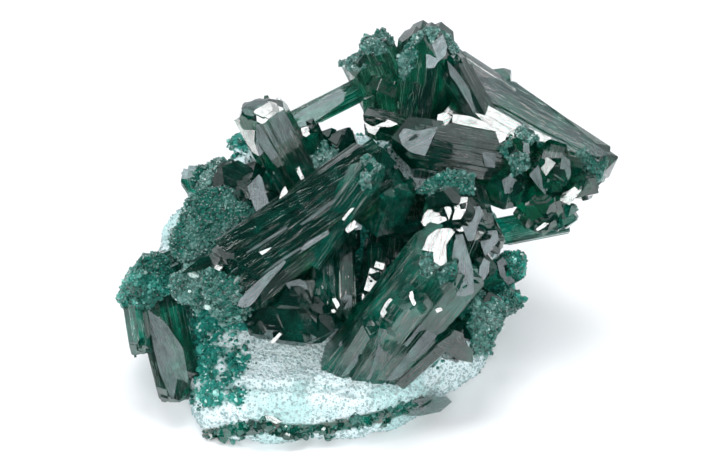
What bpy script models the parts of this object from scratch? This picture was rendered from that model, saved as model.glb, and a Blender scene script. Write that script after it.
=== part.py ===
"""A dioptase specimen: sprays of emerald prisms grown on a lump of pale matrix.

Sizes are in millimetres until the last step, which scales every piece to metres. +Z is up,
-Y is the display side, and the origin is the middle of the underside.

The crystals are set out on the display face. That is a plane through the specimen which
leans back by FACE_LEAN, and its three directions are across (to the right), up (up the
face) and out (away from the specimen, towards someone who looks straight at the face).
"""

import math
import random

import bmesh
import bpy
from mathutils import Vector, noise

# Driving dimensions, in millimetres
SPECIMEN_WIDTH = 50.0  # across all the crystals, left to right
FACE_LEAN = math.radians(35.0)
FACE_HEIGHT = 16.0  # middle of the display face, above the table
CENTRE = Vector((0.3, 3.8, 0.0))  # moves the origin to the middle of the underside
BED_GAP = 0.35  # between a crystal and the matrix that it is bedded in
CRUMB_AREA = 12.0  # square millimetres; a cut may leave this much beside a spray

# Dioptase is trigonal: a six-sided prism, closed by three rhomb faces
PRISM_FACES = 6
RHOMB_FACES = 3
RHOMB_TILT = math.radians(51.0)  # of a rhomb face's normal, from the crystal's long axis
UNEVEN = 0.07  # how far faces grow unequally, as a share of their distance

# Matrix
ROCK_MIDDLE = Vector((-3.0, 3.0, 6.0))
ROCK_REACH = (17.4, 18.0, 17.8, 17.4, 16.8, 16.8, 17.2, 18.4,
              19.3, 17.8, 19.4, 16.8, 15.2, 15.6, 13.8, 15.0)  # outline, round from +X
ROCK_RIM = (-9.5, 14.5, 2.4)  # a knoll on the back edge: its x, y and height
ROCK_RIM_SIZE = (5.5, 3.2)
ROCK_FRONT_TOP = 6.8  # height of the ledge along the front
ROCK_BACK_TOP = 19.5
ROCK_SLOPE_START = -7.5  # Y where the bed starts to climb
ROCK_SLOPE_LENGTH = 23.0
ROCK_FOOT = 3.0  # how far the rough lump runs below the table before it is cut flat
ROCK_LUMPS = 0.9  # height of the lumps on its surface
ROCK_LUMP_SIZE = 4.5
ROCK_FACE_SHARE = 0.36  # of the fine mesh's faces that the finished rock keeps
MATRIX_GREY_BLUE = (0.70, 0.83, 0.84, 1.0)
EMERALD = (0.006, 0.085, 0.055, 1.0)
CRYSTAL_ROUGHNESS = 0.08
MATRIX_ROUGHNESS = 0.85


def on_face(across, up, out):
    """The point of the part's own frame for a place given on the display face."""
    return Vector((
        across,
        up * math.sin(FACE_LEAN) - out * math.cos(FACE_LEAN),
        FACE_HEIGHT + up * math.cos(FACE_LEAN) + out * math.sin(FACE_LEAN),
    ))


def face_direction(across, up, out):
    """A direction given on the display face, in the part's own frame."""
    return (on_face(across, up, out) - on_face(0, 0, 0)).normalized()


def crystal(name, root, tip, width, depth=None, facing=(0, 0.1, 1), turn=0, end="rhomb", blades=0):
    """One prism's dimensions. Root and tip are on the display face; facing is where its
    broadest face looks; turn rolls the rhomb about the axis, in degrees; end is rhomb,
    blunt, worn or broken; blades is how many thinner prisms stand parallel on its faces."""
    return {"name": name, "root": root, "tip": tip, "width": width, "depth": depth or width,
            "facing": facing, "turn": turn, "end": end, "blades": blades}


UPPER_SPRAY = (
    crystal("heart", (7.5, 8.0, -13.0), (8.5, 15.0, -5.5), 9.0, end="blunt"),
    crystal("heart_right", (8.0, 10.0, -11.0), (17.0, 6.5, -3.6), 6.5, end="blunt"),
    crystal("crown", (5.0, 10.5, -7.0), (6.5, 22.4, -3.6), 5.6, 5.0, (-0.25, -0.1, 1), 30, blades=3),
    crystal("crown_back", (8.3, 13.0, -9.0), (8.6, 20.4, -7.0), 3.8, facing=(0.6, 0, 1)),
    crystal("crown_left", (4.0, 12.0, -7.5), (-0.6, 21.3, -4.8), 5.4, 5.0, (-0.4, 0.2, 1), 60, end="worn"),
    crystal("crown_shoulder", (2.0, 11.5, -6.5), (1.6, 17.4, -3.2), 3.4, facing=(0.1, -0.3, 1)),
    crystal("wedge", (12.6, 11.4, -4.0), (8.4, 18.9, -2.2), 3.2, facing=(0.55, 0.35, 0.8), blades=2),
    crystal("back_blade", (9.5, 15.7, -10.5), (16.0, 16.4, -8.4), 3.6, facing=(0.1, -0.2, 1), end="blunt"),
    crystal("great_right", (8.2, 17.2, -8.6), (24.4, 6.1, -3.0), 6.2, 6.0, (-0.2, 0.25, 1), 60,
            end="blunt", blades=4),
    crystal("great_right_lower", (9.0, 13.6, -7.0), (21.8, 5.2, -1.8), 4.4, facing=(-0.2, 0.5, 0.85),
            end="broken"),
    crystal("bar", (0.6, 16.5, -8.4), (-8.4, 11.9, -6.6), 2.4, 2.4, (-0.15, 0.5, 0.85), end="blunt"),
    crystal("cross", (15.2, 8.5, -3.6), (3.0, 10.6, 1.8), 5.0, 4.8, (0.1, -0.45, 0.9), 30, blades=2),
    crystal("cross_small", (5.6, 11.4, -4.6), (-0.2, 12.9, -1.2), 2.4, facing=(0.1, 0.5, 0.87)),
    crystal("cross_under", (13.0, 8.6, -6.0), (6.0, 8.6, -1.6), 3.2, facing=(0, -0.4, 1)),
    crystal("knob_high", (16.2, 9.4, -3.0), (14.4, 8.6, 1.6), 3.4, facing=(0.2, 0.8, 0.6), end="broken"),
    crystal("knob_grainy", (15.5, 10.6, -3.0), (16.0, 10.2, 1.0), 3.0, facing=(0.4, 0.5, 0.6), end="broken"),
    crystal("knob_square", (19.2, 9.0, -3.0), (18.0, 6.2, 2.2), 3.6, facing=(-0.8, 0.4, 0.5), end="blunt"),
    crystal("knob_small", (21.2, 8.8, -3.0), (20.4, 7.6, 1.2), 2.3, facing=(0.8, 0, 0.6)),
    crystal("knob_end", (21.4, 7.4, -3.0), (22.2, 5.2, 0.4), 2.8, facing=(0.7, -0.3, 0.6), end="blunt"),
    crystal("knob_dark", (15.4, 6.8, -4.0), (13.8, 5.2, 1.0), 4.0, facing=(0, 1, 0.5), end="broken"),
    crystal("knob_round", (18.6, 5.0, -5.0), (16.9, 2.9, 1.2), 4.6, facing=(0.4, 1, 0.4), end="worn"),
    crystal("right_edge", (18.0, 3.6, -4.5), (20.8, 2.6, -0.6), 3.0, facing=(0.5, -0.5, 0.7), end="blunt"),
    crystal("under_blade", (20.4, 2.6, -4.6), (12.6, 1.1, -3.4), 2.8, facing=(0, -0.4, 0.9), end="blunt"),
)

LONG_CRYSTALS = (
    crystal("long", (1.0, 7.4, 0.4), (-14.8, -3.9, 6.4), 6.0, 5.4, (-0.02, 0.08, 1), end="broken", blades=4),
    crystal("long_end", (-10.6, -2.4, 4.4), (-14.8, -6.9, 6.0), 4.8, 4.4, (-0.4, -0.1, 0.9), end="broken"),
    crystal("long_back", (-9.0, 1.2, 1.4), (-18.4, -5.2, 3.6), 3.7, 3.9, (-0.25, 0.35, 1), end="broken",
            blades=1),
    crystal("long_steep", (-6.0, -1.4, 2.6), (1.0, 8.4, 3.0), 3.9, 4.2, (0.2, -0.1, 1), blades=2),
    crystal("long_low", (-3.2, 1.4, 2.2), (-11.8, -5.9, 7.2), 2.6, 2.4, (0.2, -0.25, 0.95), end="blunt"),
    crystal("bright_tip", (-0.4, 4.0, 0.6), (0.6, 8.6, 4.6), 2.9, facing=(0.5, 0.3, 0.8), turn=60),
    crystal("plum", (1.8, 2.8, -3.0), (3.0, 6.4, 2.6), 4.7, 4.4, (0.4, -0.3, 1), 60, end="worn"),
    crystal("plum_small", (1.0, 5.0, -3.0), (1.6, 9.4, 0.4), 3.0, facing=(-0.2, 0.2, 1)),
    crystal("pillar", (-2.5, 1.6, -1.4), (-2.2, -7.0, 3.9), 2.8, 2.7, (0.35, 0.1, 1), 30, blades=2),
    crystal("pillar_left", (-4.0, 0.8, -1.0), (-3.8, -6.0, 3.4), 3.0, facing=(-0.4, -0.1, 1)),
    crystal("spark", (1.0, -0.5, -1.5), (0.9, -4.4, 2.0), 2.1, facing=(-0.1, 0.5, 0.87), end="blunt"),
    crystal("spark_low", (0.3, -2.6, -1.4), (0.0, -5.2, 1.6), 1.5, facing=(-0.1, 0.46, 0.89), end="blunt"),
    crystal("button", (-1.4, 0.0, -0.6), (-1.4, 2.1, 4.6), 1.7, facing=(-0.5, 0.5, 0.6), end="blunt"),
    crystal("drum", (-7.0, -5.2, -2.5), (-8.4, -7.2, 6.6), 8.0, 6.6, (0.1, 1, 0.1), 30, end="blunt", blades=2),
    crystal("drum_right", (-5.6, -5.6, -1.5), (-5.4, -8.0, 5.4), 5.0, 5.2, (0.8, 0.3, 0.2), end="blunt"),
    crystal("hollow", (4.0, 3.4, -7.0), (4.4, -0.2, -2.6), 5.0, facing=(0.2, 0.2, 1), end="blunt"),
    crystal("hollow_low", (2.4, 0.4, -5.6), (1.8, -3.8, -2.2), 4.6, facing=(-0.2, 0.3, 1), end="blunt"),
)

FRONT_CRYSTALS = (
    crystal("fan_left", (-3.0, -13.4, -1.2), (8.3, 0.9, 7.2), 4.9, 5.2, (-0.1, 0.1, 1), 60, blades=3),
    crystal("fan_right", (0.6, -14.0, -1.0), (10.3, -1.7, 6.6), 4.6, 5.4, (0.3, -0.25, 0.92), end="blunt", blades=2),
    crystal("fan_middle", (-1.0, -13.6, 0.0), (5.4, -4.6, 8.4), 3.5, facing=(0.35, 0.1, 1), blades=2),
    crystal("fan_foot", (-2.8, -13.4, 0.2), (1.0, -7.2, 6.4), 2.3, facing=(-0.1, 0, 1), end="blunt"),
    crystal("fan_edge", (0.0, -14.0, 0.6), (2.6, -7.4, 7.3), 1.9, facing=(0.3, -0.3, 0.9), end="blunt"),
    crystal("fan_heart", (5.6, -9.0, -2.0), (10.6, 3.4, 3.0), 4.6, end="blunt"),
    crystal("head", (8.8, 4.7, -0.2), (8.1, 3.1, 6.0), 5.0, 4.4, (0.1, -0.9, 0.5), 90, end="blunt"),
    crystal("head_right", (10.6, 5.0, -1.5), (11.3, 1.8, 4.2), 3.2, facing=(0.7, -0.3, 0.7), end="blunt"),
    crystal("step_high", (11.6, 2.4, -2.0), (12.6, 0.0, 3.8), 2.7, facing=(0.2, 0.6, 0.8), end="blunt"),
    crystal("step_low", (11.0, -0.6, -1.0), (11.9, -2.7, 4.4), 2.4, facing=(0.7, 0.2, 0.7), end="blunt"),
    crystal("corner", (9.4, -5.6, -1.5), (12.7, -8.0, 4.0), 4.9, 5.0, (0.6, -0.1, 0.8), end="broken", blades=1),
    crystal("corner_low", (6.8, -8.4, -0.5), (9.9, -9.8, 4.2), 3.9, facing=(0.2, -0.5, 0.85), end="blunt"),
    crystal("corner_blade", (3.4, -13.6, 1.6), (9.4, -8.0, 5.0), 1.8, facing=(0.3, -0.2, 1), end="blunt"),
)

LEFT_CRYSTALS = (
    crystal("tower", (-5.8, 4.4, -5.0), (-11.3, 14.8, 0.2), 5.1, 4.6, (-0.62, 0.05, 0.78), 30, end="worn",
            blades=2),
    crystal("tower_foot", (-5.0, 4.6, -5.0), (-7.6, 8.6, -1.2), 2.6, facing=(0.5, 0.2, 0.8)),
    crystal("hexagon", (-11.6, 2.2, -6.0), (-13.0, 7.7, 0.6), 5.2, 5.0, (0.3, -0.5, 0.8), 30, end="blunt"),
    crystal("hexagon_left", (-13.5, 3.0, -7.0), (-15.8, 8.2, -2.4), 4.8, facing=(-0.6, 0.2, 0.8), end="broken"),
    crystal("shingle", (-9.7, 3.6, -3.6), (-10.9, 5.9, 1.8), 2.9, facing=(-0.25, -0.2, 0.95), end="blunt",
            blades=1),
    crystal("lamp", (-7.4, 4.0, -5.0), (-9.5, 8.4, -1.6), 3.1, facing=(0.2, 0, 1), end="worn"),
    crystal("left_fin", (-15.6, 3.6, -7.5), (-18.4, 7.8, -5.2), 2.4, facing=(-0.4, 0, 1)),
    crystal("rough_block", (-13.4, 1.0, -5.6), (-14.9, 3.8, 1.4), 6.0, 5.2, (-0.1, 0.2, 1), end="broken",
            blades=1),
    crystal("rough_low", (-15.6, -0.4, -4.6), (-18.0, 1.0, 1.0), 4.3, facing=(-0.4, 0.1, 1), end="broken"),
    crystal("saddle", (-3.6, 6.0, -6.0), (-4.8, 9.6, -1.8), 3.5, facing=(0, 0.3, 1), end="broken"),
    crystal("saddle_back", (-1.6, 7.6, -8.0), (-3.2, 11.4, -3.4), 3.6, facing=(0.2, 0.2, 1), end="worn"),
    crystal("saddle_chip", (-4.6, 8.2, -6.6), (-5.8, 12.4, -3.0), 2.1, facing=(0.2, 0.46, 0.86), end="blunt"),
)

FOOT_CRYSTALS = (
    crystal("foot", (-21.4, -5.0, -2.0), (-18.5, -16.1, -0.8), 3.9, 3.2, (-0.35, -0.2, 0.9), end="blunt", blades=1),
    crystal("foot_inner", (-19.6, -5.2, -1.6), (-17.8, -13.6, -0.6), 2.5, facing=(0.4, -0.1, 0.9)),
    crystal("foot_twin", (-23.2, -6.2, -2.0), (-22.2, -10.9, 1.2), 2.3, 2.1, (-0.3, -0.3, 0.9), end="blunt"),
    crystal("foot_twin_small", (-22.0, -6.4, -1.4), (-20.9, -9.8, 1.2), 1.5, facing=(0.4, -0.1, 0.9)),
    crystal("foot_lump", (-20.0, -3.6, -4.5), (-24.0, -5.4, 0.4), 4.8, facing=(-0.5, 0.2, 0.8), end="broken"),
    crystal("foot_lump_high", (-20.2, -2.2, -5.2), (-22.6, -3.2, -0.8), 3.5, facing=(-0.5, 0.4, 0.8),
            end="broken"),
)

RIGHT_CRYSTALS = (
    crystal("flag", (12.6, -3.6, -5.0), (15.6, -1.6, -1.0), 3.0, facing=(0.2, 0.3, 0.9), end="blunt"),
    crystal("flag_low", (12.4, -5.4, -5.0), (15.0, -5.6, -0.4), 2.8, facing=(0.6, 0, 0.8), end="broken"),
)

# The seam of small crystals along the front of the matrix: (across, up) of its low points
SEAM = ((-16.2, -19.2), (-13.6, -18.6), (-10.4, -18.0), (-7.0, -18.4), (-3.6, -18.2),
        (-0.6, -17.5), (2.6, -16.8), (5.2, -15.9), (7.4, -15.2))
SEAM_CRYSTAL = 1.7
SEAM_STEP = 1.25
SEAM_TUCK = 0.5  # how far a seam crystal is buried in the rock


def half_space(mesh, point, normal):
    """Cleaves a closed convex bmesh: keeps what lies behind the plane and closes the cut."""
    every = mesh.verts[:] + mesh.edges[:] + mesh.faces[:]
    cut = bmesh.ops.bisect_plane(mesh, geom=every, dist=1e-7, plane_co=point, plane_no=normal,
                                 clear_outer=True)
    rim = [piece for piece in cut["geom_cut"] if isinstance(piece, bmesh.types.BMEdge)]
    if rim:
        bmesh.ops.contextual_create(mesh, geom=rim)


def cleave_end(mesh, axis, across_1, across_2, apex, spec, dice, width):
    """Closes a prism's free end with its rhomb, and wears it down if it is blunt or broken."""
    first = math.radians(30 + spec["turn"])
    for k in range(RHOMB_FACES):
        angle = first + k * math.tau / RHOMB_FACES
        tilt = RHOMB_TILT * dice.uniform(0.92, 1.06)
        outward = across_1 * math.cos(angle) + across_2 * math.sin(angle)
        normal = axis * math.cos(tilt) + outward * math.sin(tilt)
        half_space(mesh, apex + outward * width * dice.uniform(-0.02, 0.10), normal)
    if spec["end"] == "blunt":
        lean = across_1 * dice.uniform(-0.2, 0.2) + across_2 * dice.uniform(-0.2, 0.2)
        half_space(mesh, apex - axis * width * 0.22, (axis + lean).normalized())
    if spec["end"] == "worn":
        half_space(mesh, apex - axis * width * 0.16, axis)
        for k in range(PRISM_FACES):
            angle = (k + 0.5) * math.tau / PRISM_FACES + dice.uniform(-0.2, 0.2)
            outward = across_1 * math.cos(angle) + across_2 * math.sin(angle)
            half_space(mesh, apex + (outward * 0.24 - axis * 0.14) * width, (axis + outward * 0.8).normalized())
    if spec["end"] == "broken":
        for drop in (0.22, 0.30, 0.34):
            lean = across_1 * dice.uniform(-0.6, 0.6) + across_2 * dice.uniform(-0.6, 0.6)
            half_space(mesh, apex - axis * width * drop, (axis + lean).normalized())


def prism(spec, dice, centre_shift=(0.0, 0.0), size=1.0, tip_drop=0.0):
    """A closed bmesh of one prism. The shift is in the cross-section, as shares of the half sizes."""
    root, tip = on_face(*spec["root"]), on_face(*spec["tip"])
    axis = (tip - root).normalized()
    facing = face_direction(*spec["facing"])
    across_1 = (facing - axis * facing.dot(axis)).normalized()
    across_2 = axis.cross(across_1)
    half_1, half_2 = spec["depth"] / 2, spec["width"] / 2
    shift = across_1 * half_1 * centre_shift[0] + across_2 * half_2 * centre_shift[1]
    root, tip = root + shift, tip + shift - axis * tip_drop
    mesh = bmesh.new()
    bmesh.ops.create_cube(mesh, size=2 * (tip - root).length + 4 * spec["width"])
    bmesh.ops.translate(mesh, verts=mesh.verts, vec=root)
    half_space(mesh, root, -axis)
    for k in range(PRISM_FACES):
        angle = k * math.tau / PRISM_FACES
        normal = across_1 * math.cos(angle) + across_2 * math.sin(angle)
        reach = math.hypot(half_1 * math.cos(angle), half_2 * math.sin(angle)) * size
        half_space(mesh, root + normal * reach * dice.uniform(1 - UNEVEN, 1 + UNEVEN), normal)
    apex = tip + (across_1 * dice.uniform(-0.12, 0.12) + across_2 * dice.uniform(-0.12, 0.12)) * spec["width"]
    cleave_end(mesh, axis, across_1, across_2, apex, spec, dice, min(spec["width"], spec["depth"]) * size)
    bmesh.ops.recalc_face_normals(mesh, faces=mesh.faces)
    return mesh


def prisms_of(spec):
    """The crystal's own prism, then the thinner blades that stand on its faces."""
    dice = random.Random(spec["name"])
    made = [prism(spec, dice)]
    for k in range(spec["blades"]):
        angle = dice.choice(range(PRISM_FACES)) * math.tau / PRISM_FACES + dice.uniform(-0.5, 0.5)
        size = dice.uniform(0.34, 0.52)
        reach = 1.0 + dice.uniform(0.05, 0.16) - size
        shift = (math.cos(angle) * reach, math.sin(angle) * reach)
        length = (on_face(*spec["tip"]) - on_face(*spec["root"])).length
        made.append(prism(spec, dice, shift, size, length * dice.uniform(0.04, 0.3)))
    return made


def new_object(name, mesh, collection):
    """An object from a bmesh, which it frees."""
    data = bpy.data.meshes.new(name)
    mesh.to_mesh(data)
    mesh.free()
    made = bpy.data.objects.new(name, data)
    collection.objects.link(made)
    return made


def evaluated_copy(source, name, collection):
    """A plain mesh object of what the source's modifiers make, without them."""
    bpy.context.view_layer.update()
    graph = bpy.context.evaluated_depsgraph_get()
    data = bpy.data.meshes.new_from_object(source.evaluated_get(graph))
    data.name = name
    made = bpy.data.objects.new(name, data)
    collection.objects.link(made)
    return made


def drop_crumbs(target):
    """Keeps the largest closed body of a mesh: a cut can leave specks beside it."""
    mesh = bmesh.new()
    mesh.from_mesh(target.data)
    bodies, seen = [], set()
    for start in mesh.faces:
        if start in seen:
            continue
        body, queue = {start}, [start]
        while queue:
            for edge in queue.pop().edges:
                fresh = [face for face in edge.link_faces if face not in body]
                body.update(fresh)
                queue.extend(fresh)
        seen |= body
        bodies.append(body)
    bodies.sort(key=lambda body: sum(face.calc_area() for face in body), reverse=True)
    crumbs = [face for body in bodies[1:] for face in body]
    if sum(face.calc_area() for face in crumbs) > CRUMB_AREA:
        raise ValueError(f"a crystal of {target.name} stands free of the others")
    bmesh.ops.delete(mesh, geom=crumbs, context="FACES")
    mesh.to_mesh(target.data)
    mesh.free()


def joined(name, pieces, cutter, collection, helpers):
    """One solid from overlapping meshes, with the matrix cut away from it."""
    members = bpy.data.collections.new(name + "_members")
    helpers.children.link(members)
    first, *others = [new_object(f"{name}_{k:02d}", piece, members) for k, piece in enumerate(pieces)]
    others_group = bpy.data.collections.new(name + "_others")
    helpers.children.link(others_group)
    for other in others:
        others_group.objects.link(other)
    union = first.modifiers.new("union", "BOOLEAN")
    union.operation = "UNION"
    union.operand_type = "COLLECTION"
    union.collection = others_group
    union.solver = "EXACT"
    union.use_self = True
    if cutter:
        bed = first.modifiers.new("bed", "BOOLEAN")
        bed.operation = "DIFFERENCE"
        bed.object = cutter
        bed.solver = "EXACT"
    made = evaluated_copy(first, name, collection)
    drop_crumbs(made)
    for piece in [first, *others]:
        bpy.data.objects.remove(piece)
    for group in (members, others_group):
        bpy.data.collections.remove(group)
    return made


def round_trip(values, turn):
    """A smooth closed curve through evenly spaced values; turn runs from 0 to 1."""
    count = len(values)
    place = (turn % 1.0) * count
    k, t = int(place), place % 1.0
    before, start, end, after = (values[(k + step) % count] for step in (-1, 0, 1, 2))
    return start + 0.5 * t * (end - before + t * (2 * before - 5 * start + 4 * end - after
                                                  + t * (3 * (start - end) + after - before)))


def bed_height(x, y):
    """Height of the matrix's upper side, which climbs from a ledge in front to the back."""
    share = min(1.0, max(0.0, (y - ROCK_SLOPE_START) / ROCK_SLOPE_LENGTH))
    climb = share * share * (3 - 2 * share)
    height = ROCK_FRONT_TOP + (ROCK_BACK_TOP - ROCK_FRONT_TOP) * climb
    left_fall = max(0.0, -15.0 - x) * 0.35
    right_fall = max(0.0, x - 8.0) * 0.45
    away = math.hypot((x - ROCK_RIM[0]) / ROCK_RIM_SIZE[0], (y - ROCK_RIM[1]) / ROCK_RIM_SIZE[1])
    return height - left_fall - right_fall + ROCK_RIM[2] * math.exp(-away * away)


def in_rock(point):
    """Whether a point lies in the smooth form of the matrix, before its lumps."""
    if not -ROCK_FOOT < point.z < bed_height(point.x, point.y):
        return False
    flat = Vector((point.x - ROCK_MIDDLE.x, point.y - ROCK_MIDDLE.y))
    turn = math.atan2(flat.y, flat.x) / math.tau
    undercut = 1.0 - 0.05 * max(0.0, 2.5 - point.z) / 2.5
    return flat.length < round_trip(ROCK_REACH, turn) * undercut


def rock_surface(direction):
    """The point where a ray from the rock's middle leaves it, by halving."""
    near, far = 0.0, 2 * max(ROCK_REACH)
    for _ in range(20):
        middle = (near + far) / 2
        if in_rock(ROCK_MIDDLE + direction * middle):
            near = middle
        else:
            far = middle
    return ROCK_MIDDLE + direction * near


def rough_rock():
    """The lump of matrix as a bmesh: its smooth form with broken lumps, before the flat cut."""
    mesh = bmesh.new()
    bmesh.ops.create_icosphere(mesh, subdivisions=4, radius=1.0)
    for vert in mesh.verts:
        direction = vert.co.normalized()
        place = rock_surface(direction)
        lump = noise.fractal(place / ROCK_LUMP_SIZE, 0.9, 2.1, 4)
        block = noise.cell(place / (1.3 * ROCK_LUMP_SIZE))
        vert.co = place + direction * ROCK_LUMPS * (0.8 * lump + 0.35 * block - 0.3)
    return mesh


def cut_flat(target):
    """Cuts the rock flat at the table and closes its underside."""
    mesh = bmesh.new()
    mesh.from_mesh(target.data)
    half_space(mesh, Vector((0, 0, 0)), Vector((0, 0, -1)))
    mesh.to_mesh(target.data)
    mesh.free()


def rock_solid(collection):
    """The matrix with flat broken faces and a flat underside."""
    rough = new_object("rough_rock", rough_rock(), collection)
    thin = rough.modifiers.new("broken_faces", "DECIMATE")
    thin.ratio = ROCK_FACE_SHARE
    made = evaluated_copy(rough, "rock", collection)
    bpy.data.objects.remove(rough)
    cut_flat(made)
    return made


def swollen(source, distance, collection):
    """A copy of a mesh moved outwards along its normals, to cut a bed with a gap."""
    made = bpy.data.objects.new(source.name + "_bed", source.data.copy())
    collection.objects.link(made)
    for vert, normal in zip(made.data.vertices, [v.normal.copy() for v in source.data.vertices]):
        vert.co += normal * distance
    return made


def seam_places():
    """Places on the display face along the seam, at even steps across it."""
    count = int((SEAM[-1][0] - SEAM[0][0]) / SEAM_STEP)
    for k in range(count + 1):
        across = SEAM[0][0] + k * SEAM_STEP
        for (left, low), (right, high) in zip(SEAM, SEAM[1:]):
            if left <= across <= right:
                yield across, low + (high - low) * (across - left) / (right - left)


def seam_crystals(rock):
    """Small prisms that stand on the front of the rock along its seam."""
    made = []
    look = face_direction(0, 0, -1)
    for k, (across, up) in enumerate(seam_places()):
        start = on_face(across, up, 40)
        hit, place, _, _ = rock.ray_cast(start, look)
        if not hit:
            continue
        dice = random.Random(k)
        out = (place - on_face(across, up, 0)).dot(face_direction(0, 0, 1))
        spec = crystal(f"seam_{k}", (across, up + 0.4, out - 1.6 - SEAM_TUCK),
                       (across + dice.uniform(-0.5, 0.5), up - 0.2, out + dice.uniform(0.1, 0.7)),
                       SEAM_CRYSTAL * dice.uniform(0.8, 1.2), end="blunt")
        made.append(prism(spec, dice))
    return made


def table_cut(piece):
    """Keeps a mesh above the table, so that nothing reaches under the flat underside."""
    half_space(piece, Vector((0, 0, 0.0)), Vector((0, 0, -1)))
    return piece


def matrix_node(rock, collection, helpers):
    """The matrix with the small crystals of its seam fused to it."""
    whole = bmesh.new()
    whole.from_mesh(rock.data)
    return joined("matrix", [whole, *map(table_cut, seam_crystals(rock))], None, collection, helpers)


def spray_node(name, specs, bed, collection, helpers):
    """One spray of intergrown crystals as one solid, bedded on the matrix."""
    pieces = [piece for spec in specs for piece in prisms_of(spec)]
    return joined(name, pieces, bed, collection, helpers)


def material(name, colour, roughness):
    """A plain Principled material."""
    made = bpy.data.materials.new(name)
    made.use_nodes = True
    shader = made.node_tree.nodes["Principled BSDF"]
    shader.inputs["Base Color"].default_value = colour
    shader.inputs["Roughness"].default_value = roughness
    shader.inputs["Metallic"].default_value = 0.0
    return made


def main():
    for old in list(bpy.data.objects):
        bpy.data.objects.remove(old)
    specimen = bpy.data.collections.new("dioptase_specimen")
    helpers = bpy.data.collections.new("helpers")
    for group in (specimen, helpers):
        bpy.context.scene.collection.children.link(group)
    rock = rock_solid(helpers)
    bed = swollen(rock, BED_GAP, helpers)
    stone = material("matrix", MATRIX_GREY_BLUE, MATRIX_ROUGHNESS)
    emerald = material("dioptase", EMERALD, CRYSTAL_ROUGHNESS)
    sprays = {
        "upper_spray": UPPER_SPRAY,
        "long_crystals": LONG_CRYSTALS,
        "front_crystals": FRONT_CRYSTALS,
        "left_crystals": LEFT_CRYSTALS,
        "foot_crystals": FOOT_CRYSTALS,
        "right_crystals": RIGHT_CRYSTALS,
    }
    nodes = [(matrix_node(rock, specimen, helpers), stone)]
    nodes += [(spray_node(name, specs, bed, specimen, helpers), emerald) for name, specs in sprays.items()]
    for piece, finish in nodes:
        piece.data.materials.clear()
        piece.data.materials.append(finish)
        for vert in piece.data.vertices:
            vert.co = (vert.co - CENTRE) / 1000.0
    for helper in (rock, bed):
        bpy.data.objects.remove(helper)
    bpy.data.collections.remove(helpers)


main()
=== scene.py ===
"""Looks of the dioptase specimen: striated emerald prisms and druse on a pale granular matrix.

Crystal sizes are in millimetres until a piece is finished, and metres after that. The
crystals are set out on the display face, a plane through the specimen that leans back. Its
directions are across (to the right), up (up the face) and out (towards the viewer).
"""

import math
import random

import bmesh
import bpy
import numpy as np
from bpy.props import EnumProperty, FloatProperty, FloatVectorProperty, IntProperty, PointerProperty
from mathutils import Matrix, Vector, noise
from mathutils.bvhtree import BVHTree


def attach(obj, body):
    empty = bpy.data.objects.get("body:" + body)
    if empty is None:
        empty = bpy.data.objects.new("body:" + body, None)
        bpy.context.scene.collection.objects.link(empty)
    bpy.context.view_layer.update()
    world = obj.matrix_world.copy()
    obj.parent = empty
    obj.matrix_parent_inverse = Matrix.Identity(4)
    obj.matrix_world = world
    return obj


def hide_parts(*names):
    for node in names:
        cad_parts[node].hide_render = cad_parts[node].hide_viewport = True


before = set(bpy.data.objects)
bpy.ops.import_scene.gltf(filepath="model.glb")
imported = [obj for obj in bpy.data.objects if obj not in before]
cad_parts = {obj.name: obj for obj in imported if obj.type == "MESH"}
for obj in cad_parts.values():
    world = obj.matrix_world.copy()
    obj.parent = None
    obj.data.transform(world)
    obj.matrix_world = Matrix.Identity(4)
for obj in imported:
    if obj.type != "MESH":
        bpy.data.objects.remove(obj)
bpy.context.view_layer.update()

bl_info = {
    "name": "Dioptase specimen",
    "version": (1, 0, 0),
    "blender": (4, 5, 0),
    "location": "View3D > Sidebar > Specimen",
    "description": "Builds a dioptase specimen with its matrix, crystals, druse and stage",
    "category": "Object",
}

FACE_LEAN = math.radians(35.0)  # how far the display face leans back from upright
FACE_HEIGHT = 16.0  # the middle of the display face over the floor
CENTRE = Vector((0.3, 3.8, 0.0))  # the frame's origin, from the foot of the display face's middle
VIEW_DISTANCE = 300.0  # from the camera to the middle of the display face
DRAWN_MIDDLE = (365, 245)  # the middle of the display face in the growth faces' outlines
DRAWN_STEPS = 10  # steps of those outlines in a millimetre
OUT_OF_THE_CRYSTALS = 40  # a level of the display face that no crystal reaches
PRISM_FACES = 6
RHOMB_TILT = math.radians(51.0)
DEEP, CLEAR, CRUST = 0, 1, 2  # the material of a face: dark crystal, clearer crystal, grainy crust

# Normals, on the display face, of flat faces that mirror one of the softboxes to the camera
KEY = (0, 0.46, 0.89)
PANEL = (-0.08, 0.24, 0.97)
TENT = (0.38, -0.16, 0.91)
RIDGE = (-0.1, 0.30, 0.95)
LEFT = (-0.5, 0.1, 0.86)
# Normals of flat faces that mirror something darker
EDGE = (0.2, 0.25, 0.95)
BLADE = (-0.08, 0.28, 0.957)
DARK = (0.02, -0.03, 1.0)
FRONT = (0.0, 0.1, 1.0)
LOW = (0.1, -0.2, 1)


def crystal(name, root, tip, width, depth=None, facing=(0, 0.1, 1), turn=0, end="rhomb",
            grain=0.0, glow=0.0):
    """One prism: its root and tip on the display face, its width and depth in millimetres,
    where its broadest face looks, the roll of its rhomb, the kind of its end, the length of
    its grainy crust from the tip, and how much light it lets through. From one half up it
    gets the clearer finish, whose colour holds more painted glow."""
    return {"name": name, "root": root, "tip": tip, "width": width, "depth": depth or width,
            "facing": facing, "turn": turn, "end": end, "grain": grain, "glow": glow}


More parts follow.
